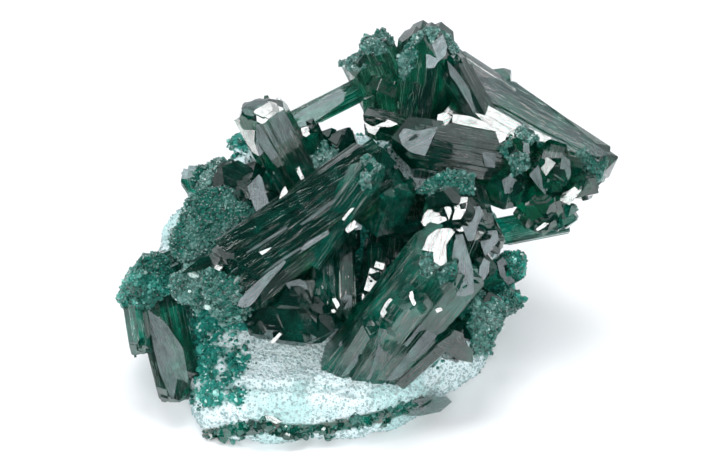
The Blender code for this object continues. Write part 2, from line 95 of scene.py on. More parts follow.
SPRAYS = {
    "upper_spray": (
        crystal("heart", (7.5, 8.0, -13.0), (8.5, 15.0, -5.5), 9.0, end="blunt"),
        crystal("heart_right", (8.0, 10.0, -11.0), (17.0, 6.5, -3.6), 6.5, end="blunt"),
        crystal("crown", (5.0, 10.5, -7.0), (6.5, 22.4, -3.6), 5.6, 5.0, (-0.25, -0.1, 1), 30, glow=0.4),
        crystal("crown_back", (8.3, 13.0, -9.0), (8.6, 20.4, -7.0), 3.8, facing=(0.6, 0, 1), glow=0.8),
        crystal("crown_left", (4.0, 12.0, -7.5), (-0.6, 21.3, -4.8), 5.4, 5.0, (-0.4, 0.2, 1), 60,
                end="broken", grain=2.2),
        crystal("crown_shoulder", (2.0, 11.5, -6.5), (1.6, 17.4, -3.2), 3.4, facing=(0.1, -0.3, 1),
                glow=0.4),
        crystal("wedge", (12.6, 11.4, -4.0), (8.4, 18.9, -2.2), 3.2, facing=(0.55, 0.35, 0.8)),
        crystal("back_blade", (9.5, 15.7, -10.5), (16.0, 16.4, -8.4), 3.6, facing=(0.1, -0.2, 1),
                end="blunt", glow=0.5),
        crystal("great_right", (8.2, 17.2, -8.6), (24.4, 6.1, -3.0), 6.2, 6.0, (-0.2, 0.25, 1), 60,
                end="blunt"),
        crystal("great_right_lower", (9.0, 13.6, -7.0), (21.8, 5.2, -1.8), 4.4, facing=(-0.2, 0.5, 0.85),
                end="broken"),
        crystal("bar", (0.6, 16.5, -8.4), (-8.4, 11.9, -6.6), 2.4, 2.4, (-0.15, 0.5, 0.85), end="blunt"),
        crystal("cross", (15.2, 8.5, -3.6), (3.0, 10.6, 1.8), 5.0, 4.8, (0.1, -0.45, 0.9), 30),
        crystal("cross_small", (5.6, 11.4, -4.6), (-0.2, 12.9, -1.2), 2.4, facing=(0.1, 0.5, 0.87)),
        crystal("cross_under", (13.0, 8.6, -6.0), (6.0, 8.6, -1.6), 3.2, facing=(0, -0.4, 1), glow=0.5),
        crystal("knob_high", (16.2, 9.4, -3.0), (14.4, 8.6, 1.6), 3.4, facing=(0.2, 0.8, 0.6), end="broken",
                grain=1.1),
        crystal("knob_grainy", (15.5, 10.6, -3.0), (16.0, 10.2, 1.0), 3.0, facing=(0.4, 0.5, 0.6),
                end="broken", grain=1.3),
        crystal("knob_square", (19.2, 9.0, -3.0), (18.0, 6.2, 2.2), 3.6, facing=(-0.8, 0.4, 0.5),
                end="blunt"),
        crystal("knob_small", (21.2, 8.8, -3.0), (20.4, 7.6, 1.2), 2.3, facing=(0.8, 0, 0.6)),
        crystal("knob_end", (21.4, 7.4, -3.0), (22.2, 5.2, 0.4), 2.8, facing=(0.7, -0.3, 0.6),
                end="blunt"),
        crystal("knob_dark", (15.4, 6.8, -4.0), (13.8, 5.2, 1.0), 4.0, facing=(0, 1, 0.5), end="broken"),
        crystal("knob_round", (18.6, 5.0, -5.0), (16.9, 2.9, 1.2), 4.6, facing=(0.4, 1, 0.4), end="worn"),
        crystal("right_edge", (18.0, 3.6, -4.5), (20.8, 2.6, -0.6), 3.0, facing=(0.5, -0.5, 0.7),
                end="blunt", glow=0.8),
        crystal("under_blade", (20.4, 2.6, -4.6), (12.6, 1.1, -3.4), 2.8, facing=(0, -0.4, 0.9),
                end="blunt", glow=0.6),
    ),
    "long_crystals": (
        crystal("long", (1.0, 7.4, 0.4), (-14.8, -3.9, 6.4), 6.0, 5.4, (-0.02, 0.08, 1), end="broken"),
        crystal("long_end", (-10.6, -2.4, 4.4), (-14.8, -6.9, 6.0), 4.8, 4.4, (-0.4, -0.1, 0.9),
                end="broken", grain=4.5),
        crystal("long_back", (-9.0, 1.2, 1.4), (-18.4, -5.2, 3.6), 3.7, 3.9, (-0.25, 0.35, 1), end="broken",
                grain=3.0),
        crystal("long_steep", (-6.0, -1.4, 2.6), (1.0, 8.4, 3.0), 3.9, 4.2, (0.2, -0.1, 1), glow=0.7),
        crystal("long_low", (-3.2, 1.4, 2.2), (-11.8, -5.9, 7.2), 2.6, 2.4, (0.2, -0.25, 0.95),
                end="blunt"),
        crystal("bright_tip", (-0.4, 4.0, 0.6), (0.6, 8.6, 4.6), 2.9, facing=(0.5, 0.3, 0.8), turn=60,
                glow=1.0),
        crystal("plum", (1.8, 2.8, -3.0), (3.0, 6.4, 2.6), 4.7, 4.4, (0.4, -0.3, 1), 60, end="worn",
                glow=0.6),
        crystal("plum_small", (1.0, 5.0, -3.0), (1.6, 9.4, 0.4), 3.0, facing=(-0.2, 0.2, 1), glow=0.7),
        crystal("pillar", (-2.5, 1.6, -1.4), (-2.2, -7.0, 3.9), 2.8, 2.7, (0.35, 0.1, 1), 30, glow=0.3),
        crystal("pillar_left", (-4.0, 0.8, -1.0), (-3.8, -6.0, 3.4), 3.0, facing=(-0.4, -0.1, 1),
                glow=0.5),
        crystal("spark", (1.0, -0.5, -1.5), (0.9, -4.4, 2.0), 2.1, facing=(-0.1, 0.5, 0.87), end="blunt"),
        crystal("spark_low", (0.3, -2.6, -1.4), (0.0, -5.2, 1.6), 1.5, facing=(-0.1, 0.46, 0.89),
                end="blunt"),
        crystal("button", (-1.4, 0.0, -0.6), (-1.4, 2.1, 4.6), 1.7, facing=(-0.5, 0.5, 0.6), end="blunt"),
        crystal("drum", (-7.0, -5.2, -2.5), (-8.4, -7.2, 6.6), 8.0, 6.6, (0.1, 1, 0.1), 30, end="blunt"),
        crystal("drum_right", (-5.6, -5.6, -1.5), (-5.4, -8.0, 5.4), 5.0, 5.2, (0.8, 0.3, 0.2),
                end="blunt"),
        crystal("hollow", (4.0, 3.4, -7.0), (4.4, -0.2, -2.6), 5.0, facing=(0.2, 0.2, 1), end="blunt"),
        crystal("hollow_low", (2.4, 0.4, -5.6), (1.8, -3.8, -2.2), 4.6, facing=(-0.2, 0.3, 1),
                end="blunt"),
    ),
    "front_crystals": (
        crystal("fan_left", (-3.0, -13.4, -1.2), (8.3, 0.9, 7.2), 4.9, 5.2, (-0.1, 0.1, 1), 60, glow=0.5),
        crystal("fan_right", (0.6, -14.0, -1.0), (10.3, -1.7, 6.6), 4.6, 5.4, (0.3, -0.25, 0.92),
                end="blunt", glow=0.5),
        crystal("fan_middle", (-1.0, -13.6, 0.0), (5.4, -4.6, 8.4), 3.5, facing=(0.35, 0.1, 1), glow=0.8),
        crystal("fan_foot", (-2.8, -13.4, 0.2), (1.0, -7.2, 6.4), 2.3, facing=(-0.1, 0, 1), end="blunt",
                glow=0.5),
        crystal("fan_edge", (0.0, -14.0, 0.6), (2.6, -7.4, 7.3), 1.9, facing=(0.3, -0.3, 0.9), end="blunt",
                glow=0.5),
        crystal("fan_heart", (5.6, -9.0, -2.0), (10.6, 3.4, 3.0), 4.6, end="blunt", glow=0.3),
        crystal("head", (8.8, 4.7, -0.2), (8.1, 3.1, 6.0), 5.0, 4.4, (0.1, -0.9, 0.5), 90, end="blunt"),
        crystal("head_right", (10.6, 5.0, -1.5), (11.3, 1.8, 4.2), 3.2, facing=(0.7, -0.3, 0.7),
                end="blunt"),
        crystal("step_high", (11.6, 2.4, -2.0), (12.6, 0.0, 3.8), 2.7, facing=(0.2, 0.6, 0.8),
                end="blunt"),
        crystal("step_low", (11.0, -0.6, -1.0), (11.9, -2.7, 4.4), 2.4, facing=(0.7, 0.2, 0.7),
                end="blunt"),
        crystal("corner", (9.4, -5.6, -1.5), (12.7, -8.0, 4.0), 4.9, 5.0, (0.6, -0.1, 0.8), end="broken",
                grain=2.0),
        crystal("corner_low", (6.8, -8.4, -0.5), (9.9, -9.8, 4.2), 3.9, facing=(0.2, -0.5, 0.85),
                end="blunt"),
        crystal("corner_blade", (3.4, -13.6, 1.6), (9.4, -8.0, 5.0), 1.8, facing=(0.3, -0.2, 1),
                end="blunt"),
    ),
    "left_crystals": (
        crystal("tower", (-5.8, 4.4, -5.0), (-11.3, 14.8, 0.2), 5.1, 4.6, (-0.62, 0.05, 0.78), 30,
                end="worn"),
        crystal("tower_foot", (-5.0, 4.6, -5.0), (-7.6, 8.6, -1.2), 2.6, facing=(0.5, 0.2, 0.8)),
        crystal("hexagon", (-11.6, 2.2, -6.0), (-13.0, 7.7, 0.6), 5.2, 5.0, (0.3, -0.5, 0.8), 30,
                end="blunt"),
        crystal("hexagon_left", (-13.5, 3.0, -7.0), (-15.8, 8.2, -2.4), 4.8, facing=(-0.6, 0.2, 0.8),
                end="broken", grain=3.0),
        crystal("shingle", (-9.7, 3.6, -3.6), (-10.9, 5.9, 1.8), 2.9, facing=(-0.25, -0.2, 0.95),
                end="blunt"),
        crystal("lamp", (-7.4, 4.0, -5.0), (-9.5, 8.4, -1.6), 3.1, facing=(0.2, 0, 1), end="worn",
                glow=1.0),
        crystal("left_fin", (-15.6, 3.6, -7.5), (-18.4, 7.8, -5.2), 2.4, facing=(-0.4, 0, 1), glow=1.0),
        crystal("rough_block", (-13.4, 1.0, -5.6), (-14.9, 3.8, 1.4), 6.0, 5.2, (-0.1, 0.2, 1),
                end="broken", grain=6.0),
        crystal("rough_low", (-15.6, -0.4, -4.6), (-18.0, 1.0, 1.0), 4.3, facing=(-0.4, 0.1, 1),
                end="broken", grain=5.0),
        crystal("saddle", (-3.6, 6.0, -6.0), (-4.8, 9.6, -1.8), 3.5, facing=(0, 0.3, 1), end="broken",
                grain=2.5),
        crystal("saddle_back", (-1.6, 7.6, -8.0), (-3.2, 11.4, -3.4), 3.6, facing=(0.2, 0.2, 1),
                end="worn"),
        crystal("saddle_chip", (-4.6, 8.2, -6.6), (-5.8, 12.4, -3.0), 2.1, facing=(0.2, 0.46, 0.86),
                end="blunt"),
    ),
    "foot_crystals": (
        crystal("foot", (-21.4, -5.0, -2.0), (-18.5, -16.1, -0.8), 3.9, 3.2, (-0.35, -0.2, 0.9),
                end="blunt", glow=0.2),
        crystal("foot_inner", (-19.6, -5.2, -1.6), (-17.8, -13.6, -0.6), 2.5, facing=(0.4, -0.1, 0.9),
                glow=0.2),
        crystal("foot_twin", (-23.2, -6.2, -2.0), (-22.2, -10.9, 1.2), 2.3, 2.1, (-0.3, -0.3, 0.9),
                end="blunt", glow=0.8),
        crystal("foot_twin_small", (-22.0, -6.4, -1.4), (-20.9, -9.8, 1.2), 1.5, facing=(0.4, -0.1, 0.9)),
        crystal("foot_lump", (-20.0, -3.6, -4.5), (-24.0, -5.4, 0.4), 4.8, facing=(-0.5, 0.2, 0.8),
                end="broken", grain=5.0, glow=0.8),
        crystal("foot_lump_high", (-20.2, -2.2, -5.2), (-22.6, -3.2, -0.8), 3.5, facing=(-0.5, 0.4, 0.8),
                end="broken", grain=4.0, glow=0.8),
    ),
    "right_crystals": (
        crystal("flag", (12.6, -3.6, -5.0), (15.6, -1.6, -1.0), 3.0, facing=(0.2, 0.3, 0.9), end="blunt",
                grain=1.6, glow=1.0),
        crystal("flag_low", (12.4, -5.4, -5.0), (15.0, -5.6, -0.4), 2.8, facing=(0.6, 0, 0.8), end="broken",
                grain=4.0, glow=1.0),
    ),
}

# Patches of the matrix: (across, up, radius) on the display face, in millimetres
GREEN_PATCHES = (
    (-22.0, -3.0, 5.0), (-18.5, -1.5, 4.0), (-18.0, -8.0, 5.0), (-16.0, -11.6, 2.6), (-13.2, -11.6, 2.0),
    (-15.6, -15.0, 1.8), (-12.6, -15.0, 1.2), (14.5, -3.5, 5.0), (13.5, -8.5, 3.5), (6.8, -11.4, 1.2))
PALE_GREEN_PATCHES = (
    (-18.6, 4.0, 4.5), (-13.0, 11.0, 4.0), (-6.0, 14.5, 4.0), (-8.0, -17.0, 5.0), (4.0, -16.5, 5.0))

# Lines of the matrix, by places (across, up) along them, and their widths: the seam of small
# crystals and the crease above it
SEAM = ((-16.2, -19.2), (-13.6, -18.6), (-10.4, -18.0), (-7.0, -18.4), (-3.6, -18.2),
        (-0.6, -17.5), (2.6, -16.8), (5.2, -15.9), (7.4, -15.2), (9.5, -13.6))
SEAM_WIDTH = 0.62
CREASE = ((-14.4, -14.2), (-10.0, -13.9), (-5.2, -13.8), (-2.6, -14.4), (-0.8, -15.0))
CREASE_WIDTH = 0.13

# Lengths of the scattered crystals, in metres, and how many of the scarcer ones stand on a
# square millimetre
SEAM_CRYSTAL_SIZE, SEAM_CRYSTAL_DENSITY = 0.0013, 2.2
STONE_GRAIN_SIZE = 0.00034
CRUST_GRAIN_SIZE = 0.00032
CRUST_CRYSTAL_SIZE, CRUST_CRYSTAL_DENSITY = 0.0008, 1.3

# Flat chips broken off the matrix: how many, how far they reach and how deep they cut, in
# metres, and the level of the display face that they stay behind, in millimetres
BIG_CHIPS = {"seed": 11, "chips": 60, "reaches": (0.0050, 0.0090), "depth": 0.0019, "behind": -9.0}
SMALL_CHIPS = {"seed": 5, "chips": 170, "reaches": (0.0022, 0.0045), "depth": 0.0009, "behind": 99.0}
CHIP_OVERHANG = 1.5  # how far in front of that level a chip may still reach
FOOT_OUT, FOOT_UP = -5.0, -8.0  # the front of the foot lies out of the one and below the other

# Softboxes: name, direction from the specimen, distance, width and height in metres, radiance
# and colour
WHITE = (1.0, 1.0, 1.0)
LAVENDER = (0.84, 0.92, 1.0)
SOFTBOXES = (
    ("key", (0.0, 0.0, 1.0), 0.60, 0.26, 0.20, 8.5, WHITE),
    ("ridge", (-0.17, -0.29, 0.94), 0.60, 0.24, 0.08, 1.2, LAVENDER),
    ("panel", (-0.15, -0.44, 0.90), 0.60, 0.24, 0.14, 2.6, LAVENDER),
    ("front", (0.69, -0.70, 0.14), 0.60, 0.20, 0.16, 1.7, LAVENDER),
    ("left", (-0.86, -0.29, 0.42), 0.60, 0.18, 0.22, 5.0, WHITE),
    ("right", (0.86, -0.29, 0.42), 0.60, 0.10, 0.16, 4.0, WHITE),
)
FILL = ("fill", (0.0, -0.86, 0.50), 0.70, 0.50, 0.26, 8.0, WHITE)
LENS = 152.5  # in millimetres
LENS_SHIFT = (-11 / 708, 9 / 708)  # as parts of the picture's width

# Flat growth faces that stand a little proud of their spray: the normal, the finish, the
# lift in millimetres, and the outline in tenths of a millimetre as it is seen from straight
# ahead, across from the left and down from the top of the display face
GROWTH_FACES = {
    "front_crystals": (
        (KEY, DEEP, 0.3, ((421, 222), (424, 214), (437, 199), (442, 206), (447, 220), (432, 227),
            (424, 226))),
        (KEY, DEEP, 0.35, ((440, 197), (447, 197), (452, 211), (449, 220), (444, 207))),
        (KEY, DEEP, 0.3, ((450, 197), (468, 197), (466, 210), (461, 219), (452, 220), (455, 210))),
        (KEY, DEEP, 0.3, ((422, 250), (428, 236), (437, 229), (450, 228), (455, 232), (446, 245),
            (447, 262), (441, 266), (434, 262), (433, 252))),
        (PANEL, DEEP, 0.3, ((447, 246), (455, 235), (463, 234), (466, 245), (470, 258), (473, 270),
            (474, 293), (463, 297), (456, 295), (460, 285), (458, 272), (458, 262), (450, 256))),
        (KEY, DEEP, 0.3, ((453, 225), (461, 223), (464, 231), (460, 232), (455, 229))),
        ((-0.4, 0.1, 0.9), CRUST, 0.2, ((420, 262), (425, 252), (433, 253), (434, 266), (430, 277),
            (421, 275))),
        ((-0.1, -0.3, 0.9), CRUST, 0.2, ((436, 272), (444, 264), (456, 262), (459, 280), (453, 290),
            (440, 283))),
        (PANEL, DEEP, 0.2, ((461, 222), (470, 207), (480, 206), (484, 214), (478, 225), (474, 240),
            (468, 241), (464, 232))),
        (PANEL, DEEP, 0.2, ((480, 232), (497, 230), (499, 240), (492, 250), (485, 256), (481, 245))),
        (PANEL, DEEP, 0.2, ((484, 258), (490, 262), (489, 272), (483, 282), (478, 277), (480, 266))),
        (TENT, DEEP, 0.2, ((386, 381), (420, 338), (455, 298), (473, 293), (466, 305), (437, 336),
            (425, 352), (412, 362), (400, 378))),
        ((0.3, -0.5, 0.8), DEEP, 0.3, ((436, 345), (455, 332), (458, 337), (473, 350), (473, 363),
            (458, 360))),
        ((0.5, -0.1, 0.86), CRUST, 0.3, ((473, 300), (490, 303), (497, 315), (495, 335), (491, 350),
            (478, 356), (473, 345))),
        (TENT, DEEP, 0.05, ((341, 376), (358, 352), (372, 330), (374, 334), (362, 355), (348, 375))),
        (KEY, DEEP, 0.1, ((380, 313), (386, 302), (391, 297), (394, 299), (388, 311), (383, 318))),
        (TENT, DEEP, 0.1, ((371, 372), (379, 340), (385, 322), (391, 325), (385, 345), (378, 362),
            (370, 380), (366, 379))),
        (KEY, DEEP, 0.2, ((410, 292), (413, 291), (414, 299), (419, 308), (417, 310), (412, 304),
            (409, 297))),
        (KEY, DEEP, 0.2, ((435, 309), (441, 307), (443, 310), (437, 313))),
        (TENT, DEEP, 0.12, ((338, 345), (362, 312), (365, 313), (341, 347))),
        (TENT, DEEP, 0.12, ((362, 300), (398, 258), (401, 259), (365, 303))),
        (TENT, DEEP, 0.12, ((404, 345), (425, 318), (428, 320), (407, 347))),
        (FRONT, CRUST, 0.1, ((420, 190), (428, 180), (445, 172), (462, 171), (473, 178), (474, 194),
            (455, 194), (437, 195))),
    ),
    "long_crystals": (
        (FRONT, CRUST, 0.2, ((203, 272), (215, 268), (232, 277), (240, 290), (237, 306), (240, 318),
            (225, 325), (210, 312), (203, 292))),
        ((-0.3, 0, 0.95), CRUST, 0.2, ((170, 276), (185, 270), (198, 278), (202, 292), (198, 302),
            (182, 304), (172, 295))),
        (EDGE, DEEP, 1.1, ((214, 242), (250, 221), (300, 188), (372, 138), (383, 151), (304, 203),
            (226, 252))),
        (DARK, DEEP, 0.1, ((180, 274), (200, 258), (225, 250), (232, 253), (215, 262), (198, 271))),
        (KEY, DEEP, 0.3, ((364, 290), (370, 268), (381, 272), (377, 284), (373, 293))),
        (KEY, DEEP, 0.3, ((374, 267), (376, 261), (385, 264), (383, 270))),
        (KEY, DEEP, 0.2, ((362, 294), (371, 292), (371, 298), (367, 303), (362, 300))),
        (KEY, DEEP, 0.3, ((345, 230), (348, 224), (353, 218), (356, 222), (354, 229), (348, 233))),
        (PANEL, DEEP, 0.1, ((355, 221), (362, 226), (361, 230), (355, 230))),
        (KEY, DEEP, 0.2, ((332, 299), (336, 298), (340, 305), (337, 309))),
        (KEY, DEEP, 0.2, ((331, 310), (335, 309), (338, 312), (332, 313))),
        (KEY, DEEP, 0.2, ((341, 321), (345, 317), (350, 322), (345, 328), (340, 325))),
        (TENT, DEEP, 0.1, ((341, 300), (345, 294), (352, 296), (352, 308), (347, 320), (342, 312))),
        (BLADE, DEEP, 0.3, ((237, 306), (240, 299), (247, 291), (258, 281), (268, 270), (275, 262),
            (280, 258), (286, 262), (280, 270), (270, 281), (262, 291), (256, 300), (250, 306),
            (243, 308))),
        (BLADE, DEEP, 0.2, ((283, 256), (305, 243), (328, 230), (329, 234), (308, 248), (287, 261))),
        (KEY, DEEP, 0.1, ((214, 268), (220, 260), (228, 256), (233, 257), (226, 264), (219, 271))),
        (KEY, DEEP, 0.1, ((259, 252), (264, 250), (272, 247), (266, 253), (262, 255))),
        (KEY, DEEP, 0.1, ((342, 219), (350, 209), (357, 201), (358, 203), (351, 212), (344, 221))),
        (TENT, DEEP, 0.1, ((262, 271), (300, 247), (301, 249), (264, 273))),
        (TENT, DEEP, 0.1, ((246, 252), (286, 226), (288, 228), (248, 254))),
        (TENT, DEEP, 0.1, ((300, 224), (336, 198), (338, 200), (302, 226))),
        (KEY, DEEP, 0.1, ((279, 199), (282, 190), (285, 186), (288, 191), (284, 199))),
        (TENT, DEEP, 0.1, ((247, 345), (255, 338), (268, 336), (272, 345), (262, 351), (250, 350))),
        (KEY, DEEP, 0.1, ((270, 342), (281, 331), (284, 332), (273, 344))),
        (KEY, DEEP, 0.1, ((246, 350), (252, 348), (256, 352), (250, 354))),
        (TENT, DEEP, 0.1, ((285, 283), (300, 279), (306, 283), (308, 290), (300, 288), (290, 290))),
        (PANEL, CRUST, 0.2, ((360, 163), (367, 156), (375, 160), (383, 167), (374, 174), (368, 186),
            (362, 189), (360, 178))),
    ),
    "upper_spray": (
        (FRONT, CRUST, 0.15, ((399, 66), (403, 50), (413, 36), (428, 27), (440, 28), (434, 41), (426, 49),
            (417, 53), (411, 70), (403, 80))),
        ((0.2, 0.2, 1), CRUST, 0.15, ((438, 28), (449, 34), (460, 50), (455, 58), (447, 47), (434, 40))),
        (RIDGE, DEEP, 0.5, ((478, 77), (500, 78), (517, 83), (560, 113), (609, 154), (597, 157), (543, 130),
            (503, 107), (477, 97))),
        ((0.4, 0.2, 0.9), CRUST, 0.2, ((576, 152), (590, 145), (603, 150), (607, 165), (600, 180),
            (587, 183), (578, 170))),
        (PANEL, DEEP, 0.2, ((426, 68), (426, 50), (433, 42), (443, 34), (447, 45), (446, 55), (438, 62),
            (434, 68))),
        (TENT, DEEP, 0.3, ((447, 60), (456, 70), (465, 82), (475, 100), (478, 112), (473, 112), (466, 100),
            (458, 86), (450, 75))),
        (TENT, DEEP, 0.2, ((502, 180), (510, 175), (517, 180), (514, 192), (505, 194))),
        (KEY, DEEP, 0.2, ((473, 97), (500, 112), (525, 126), (552, 138), (545, 142), (520, 138), (500, 136),
            (487, 125), (474, 112))),
        (PANEL, DEEP, 0.3, ((399, 135), (404, 128), (418, 131), (425, 129), (438, 127), (432, 140),
            (425, 156), (410, 152), (402, 145))),
        (KEY, DEEP, 0.2, ((436, 124), (438, 114), (447, 112), (452, 117), (448, 124), (440, 128))),
        (KEY, DEEP, 0.2, ((453, 114), (470, 116), (490, 124), (508, 133), (505, 140), (500, 143),
            (480, 135), (460, 127), (452, 122))),
        (TENT, DEEP, 0.1, ((482, 152), (496, 152), (495, 168), (485, 166))),
        (KEY, DEEP, 0.2, ((364, 122), (372, 115), (383, 118), (392, 121), (398, 124), (390, 127),
            (380, 127), (375, 135), (368, 132))),
        (PANEL, DEEP, 0.5, ((288, 119), (310, 105), (339, 88), (345, 93), (344, 101), (322, 117),
            (309, 126), (300, 127))),
        (TENT, CRUST, 0.2, ((527, 140), (533, 134), (545, 137), (544, 145), (538, 147))),
        (TENT, DEEP, 0.2, ((529, 175), (538, 165), (545, 178), (546, 195), (539, 188))),
        (LEFT, DEEP, 0.2, ((538, 164), (547, 157), (556, 163), (546, 176))),
        (TENT, DEEP, 0.2, ((560, 165), (563, 155), (570, 160), (571, 175), (566, 185), (560, 180))),
        (KEY, DEEP, 0.2, ((558, 200), (570, 190), (578, 183), (585, 185), (580, 192), (570, 205))),
        (KEY, DEEP, 0.1, ((536, 229), (545, 222), (553, 217), (551, 222), (545, 227), (538, 231))),
    ),
    "left_crystals": (
        (FRONT, CRUST, 0.3, ((186, 200), (200, 190), (222, 187), (245, 190), (258, 205), (262, 212),
            (240, 232), (225, 250), (205, 253), (185, 262), (172, 255), (170, 240), (178, 222))),
        (DARK, DEEP, 0.3, ((222, 167), (238, 160), (252, 168), (254, 183), (240, 190), (224, 184))),
        (LEFT, DEEP, 0.3, ((234, 120), (246, 114), (256, 121), (254, 141), (259, 156), (252, 152),
            (240, 132))),
        (TENT, DEEP, 0.3, ((256, 124), (268, 123), (280, 150), (285, 166), (277, 168), (264, 151),
            (256, 138))),
        (PANEL, DEEP, 0.5, ((254, 139), (263, 139), (266, 149), (260, 156), (254, 152))),
        (TENT, DEEP, 0.0, ((241, 108), (252, 101), (266, 100), (276, 107), (274, 114), (258, 117),
            (245, 115))),
        (KEY, DEEP, 0.1, ((294, 166), (298, 163), (304, 178), (301, 180))),
        (PANEL, DEEP, 0.6, ((247, 187), (259, 174), (262, 178), (268, 200), (270, 208), (258, 215),
            (255, 210))),
        (KEY, DEEP, 0.1, ((301, 128), (312, 125), (313, 132), (306, 137), (302, 135))),
        (TENT, CRUST, 0.1, ((190, 178), (200, 170), (208, 165), (207, 180), (200, 188), (192, 188))),
    ),
    "foot_crystals": (
        (TENT, DEEP, 0.8, ((148, 310), (165, 322), (183, 348), (190, 388), (184, 399), (171, 399),
            (160, 374), (153, 346))),
    ),
    "right_crystals": (
        (TENT, DEEP, 0.1, ((497, 262), (503, 257), (512, 268), (515, 282), (508, 285), (500, 275))),
    ),
    "matrix": (
        (TENT, DEEP, 0.5, ((393, 412), (400, 402), (415, 400), (432, 396), (447, 397), (452, 402),
            (440, 412), (420, 416), (400, 416))),
        (KEY, DEEP, 0.9, ((417, 404), (424, 398), (433, 399), (428, 405), (420, 408))),
        (KEY, DEEP, 0.3, ((262, 410), (268, 413), (276, 418), (282, 422), (276, 424), (266, 418))),
        (LOW, CRUST, 0.3, ((234, 432), (238, 427), (246, 426), (250, 431), (244, 437), (237, 437))),
        (LOW, CRUST, 0.3, ((349, 418), (355, 412), (361, 416), (361, 425), (353, 427))),
    ),
}


class SpecimenSettings(bpy.types.PropertyGroup):
    """Sizes and colours that a user of the specimen would change."""

    strip: FloatProperty(name="Striation", default=0.34, min=0.1, max=2.0,
                         description="Width of a flat strip on a prism face, in millimetres")
    unevenness: FloatProperty(name="Unevenness", default=0.07,
                              description="How unequally the six faces grow")
    emerald: FloatVectorProperty(name="Emerald", description="Body colour of the crystals", subtype="COLOR",
                                 size=3, default=(0.004, 0.16, 0.112))
    # Glow: painted light, a brighter emerald that noise mottles into the crystals' colour where light would
    # come through them.
    glow: FloatVectorProperty(name="Glow", description="Colour where light comes through", subtype="COLOR",
                              size=3, default=(0.012, 0.52, 0.36))
    stone: FloatVectorProperty(name="Stone", description="Colour of the matrix", subtype="COLOR",
                               size=3, default=(0.80, 0.90, 0.92))
    stain: FloatVectorProperty(name="Stain", description="Turquoise stain of the matrix", subtype="COLOR",
                               size=3, default=(0.03, 0.36, 0.30))
    druse_density: FloatProperty(name="Druse density", description="Druse crystals per square millimetre",
                                 default=5.2, min=0.0, max=30.0)
    druse_size: FloatProperty(name="Druse size", description="Length of a druse crystal", default=0.0008,
                              subtype="DISTANCE", unit="LENGTH")
    stone_grain_density: FloatProperty(name="Stone grains", description="Pale grains per square millimetre",
                                       default=11.0, min=0.0, max=60.0)
    crust_grain_density: FloatProperty(name="Crust grains", description="Crust grains per square millimetre",
                                       default=26.0, min=0.0, max=60.0)
    seed: IntProperty(name="Seed", description="Fixes the scatter of the druse", default=7)


def on_face(across, up, out):
    """The point of the specimen's frame, in millimetres, for a place on the display face."""
    return Vector((
        across,
        up * math.sin(FACE_LEAN) - out * math.cos(FACE_LEAN),
        FACE_HEIGHT + up * math.cos(FACE_LEAN) + out * math.sin(FACE_LEAN),
    )) - CENTRE


def seen_to_face(x, y, out):
    """Across, up and out of a place in a growth face's outline, drawn as the camera sees it."""
    nearer = 1.0 - out / VIEW_DISTANCE
    across = (x - DRAWN_MIDDLE[0]) / DRAWN_STEPS * nearer
    up = (DRAWN_MIDDLE[1] - y) / DRAWN_STEPS * nearer
    return Vector((across, up, out))


def to_face(point):
    """Across, up and out of a point of the specimen's frame, in millimetres."""
    moved = point + CENTRE
    y, z = moved.y, moved.z - FACE_HEIGHT
    return (moved.x, y * math.sin(FACE_LEAN) + z * math.cos(FACE_LEAN),
            z * math.sin(FACE_LEAN) - y * math.cos(FACE_LEAN))


def face_direction(across, up, out):
    """A direction on the display face, in the specimen's frame."""
    return (on_face(across, up, out) - on_face(0, 0, 0)).normalized()


def half_space(mesh, point, normal):
    """Cleaves a closed bmesh: keeps what lies behind the plane and closes the cut."""
    every = mesh.verts[:] + mesh.edges[:] + mesh.faces[:]
    cut = bmesh.ops.bisect_plane(mesh, geom=every, dist=1e-6, plane_co=point, plane_no=normal,
                                 clear_outer=True)
    rim = [piece for piece in cut["geom_cut"] if isinstance(piece, bmesh.types.BMEdge)]
    if rim:
        bmesh.ops.contextual_create(mesh, geom=rim)


def striated_outline(dice, half_1, half_2, strip, uneven):
    """Points round a prism's cross-section: six faces, each of flat strips at slightly
    different depths and tilts."""
    lines = []
    for k in range(PRISM_FACES):
        angle = k * math.tau / PRISM_FACES
        reach = math.hypot(half_1 * math.cos(angle), half_2 * math.sin(angle))
        lines.append((angle, reach * dice.uniform(1 - uneven, 1 + uneven)))
    corners = []
    for k in range(PRISM_FACES):
        (a, da), (b, db) = lines[k - 1], lines[k]
        turn = math.sin(b - a)
        corners.append(Vector(((da * math.sin(b) - db * math.sin(a)) / turn,
                               (db * math.cos(a) - da * math.cos(b)) / turn)))
    points = []
    for k in range(PRISM_FACES):
        angle = lines[k][0]
        inward = Vector((-math.cos(angle), -math.sin(angle)))
        start, end = corners[k], corners[(k + 1) % PRISM_FACES]
        length = (end - start).length
        count = max(1, round(length / strip))
        depth = min(0.05, 0.06 * strip / 0.3)
        chamfer = min(0.25, 1.1 * depth / length)
        breaks = sorted(dice.uniform(chamfer, 1 - chamfer) for _ in range(count - 1))
        breaks = [chamfer, *breaks, 1 - chamfer]
        for left, right in zip(breaks, breaks[1:]):
            if (right - left) * length < 0.02:
                continue
            base = dice.uniform(0.1, 0.7) * depth
            lean = dice.uniform(-0.07, 0.07) * (right - left) * length
            lean = max(-base, min(depth - base, lean))
            points.append(start.lerp(end, left) + inward * base)
            points.append(start.lerp(end, right) + inward * (base + lean))
    return points


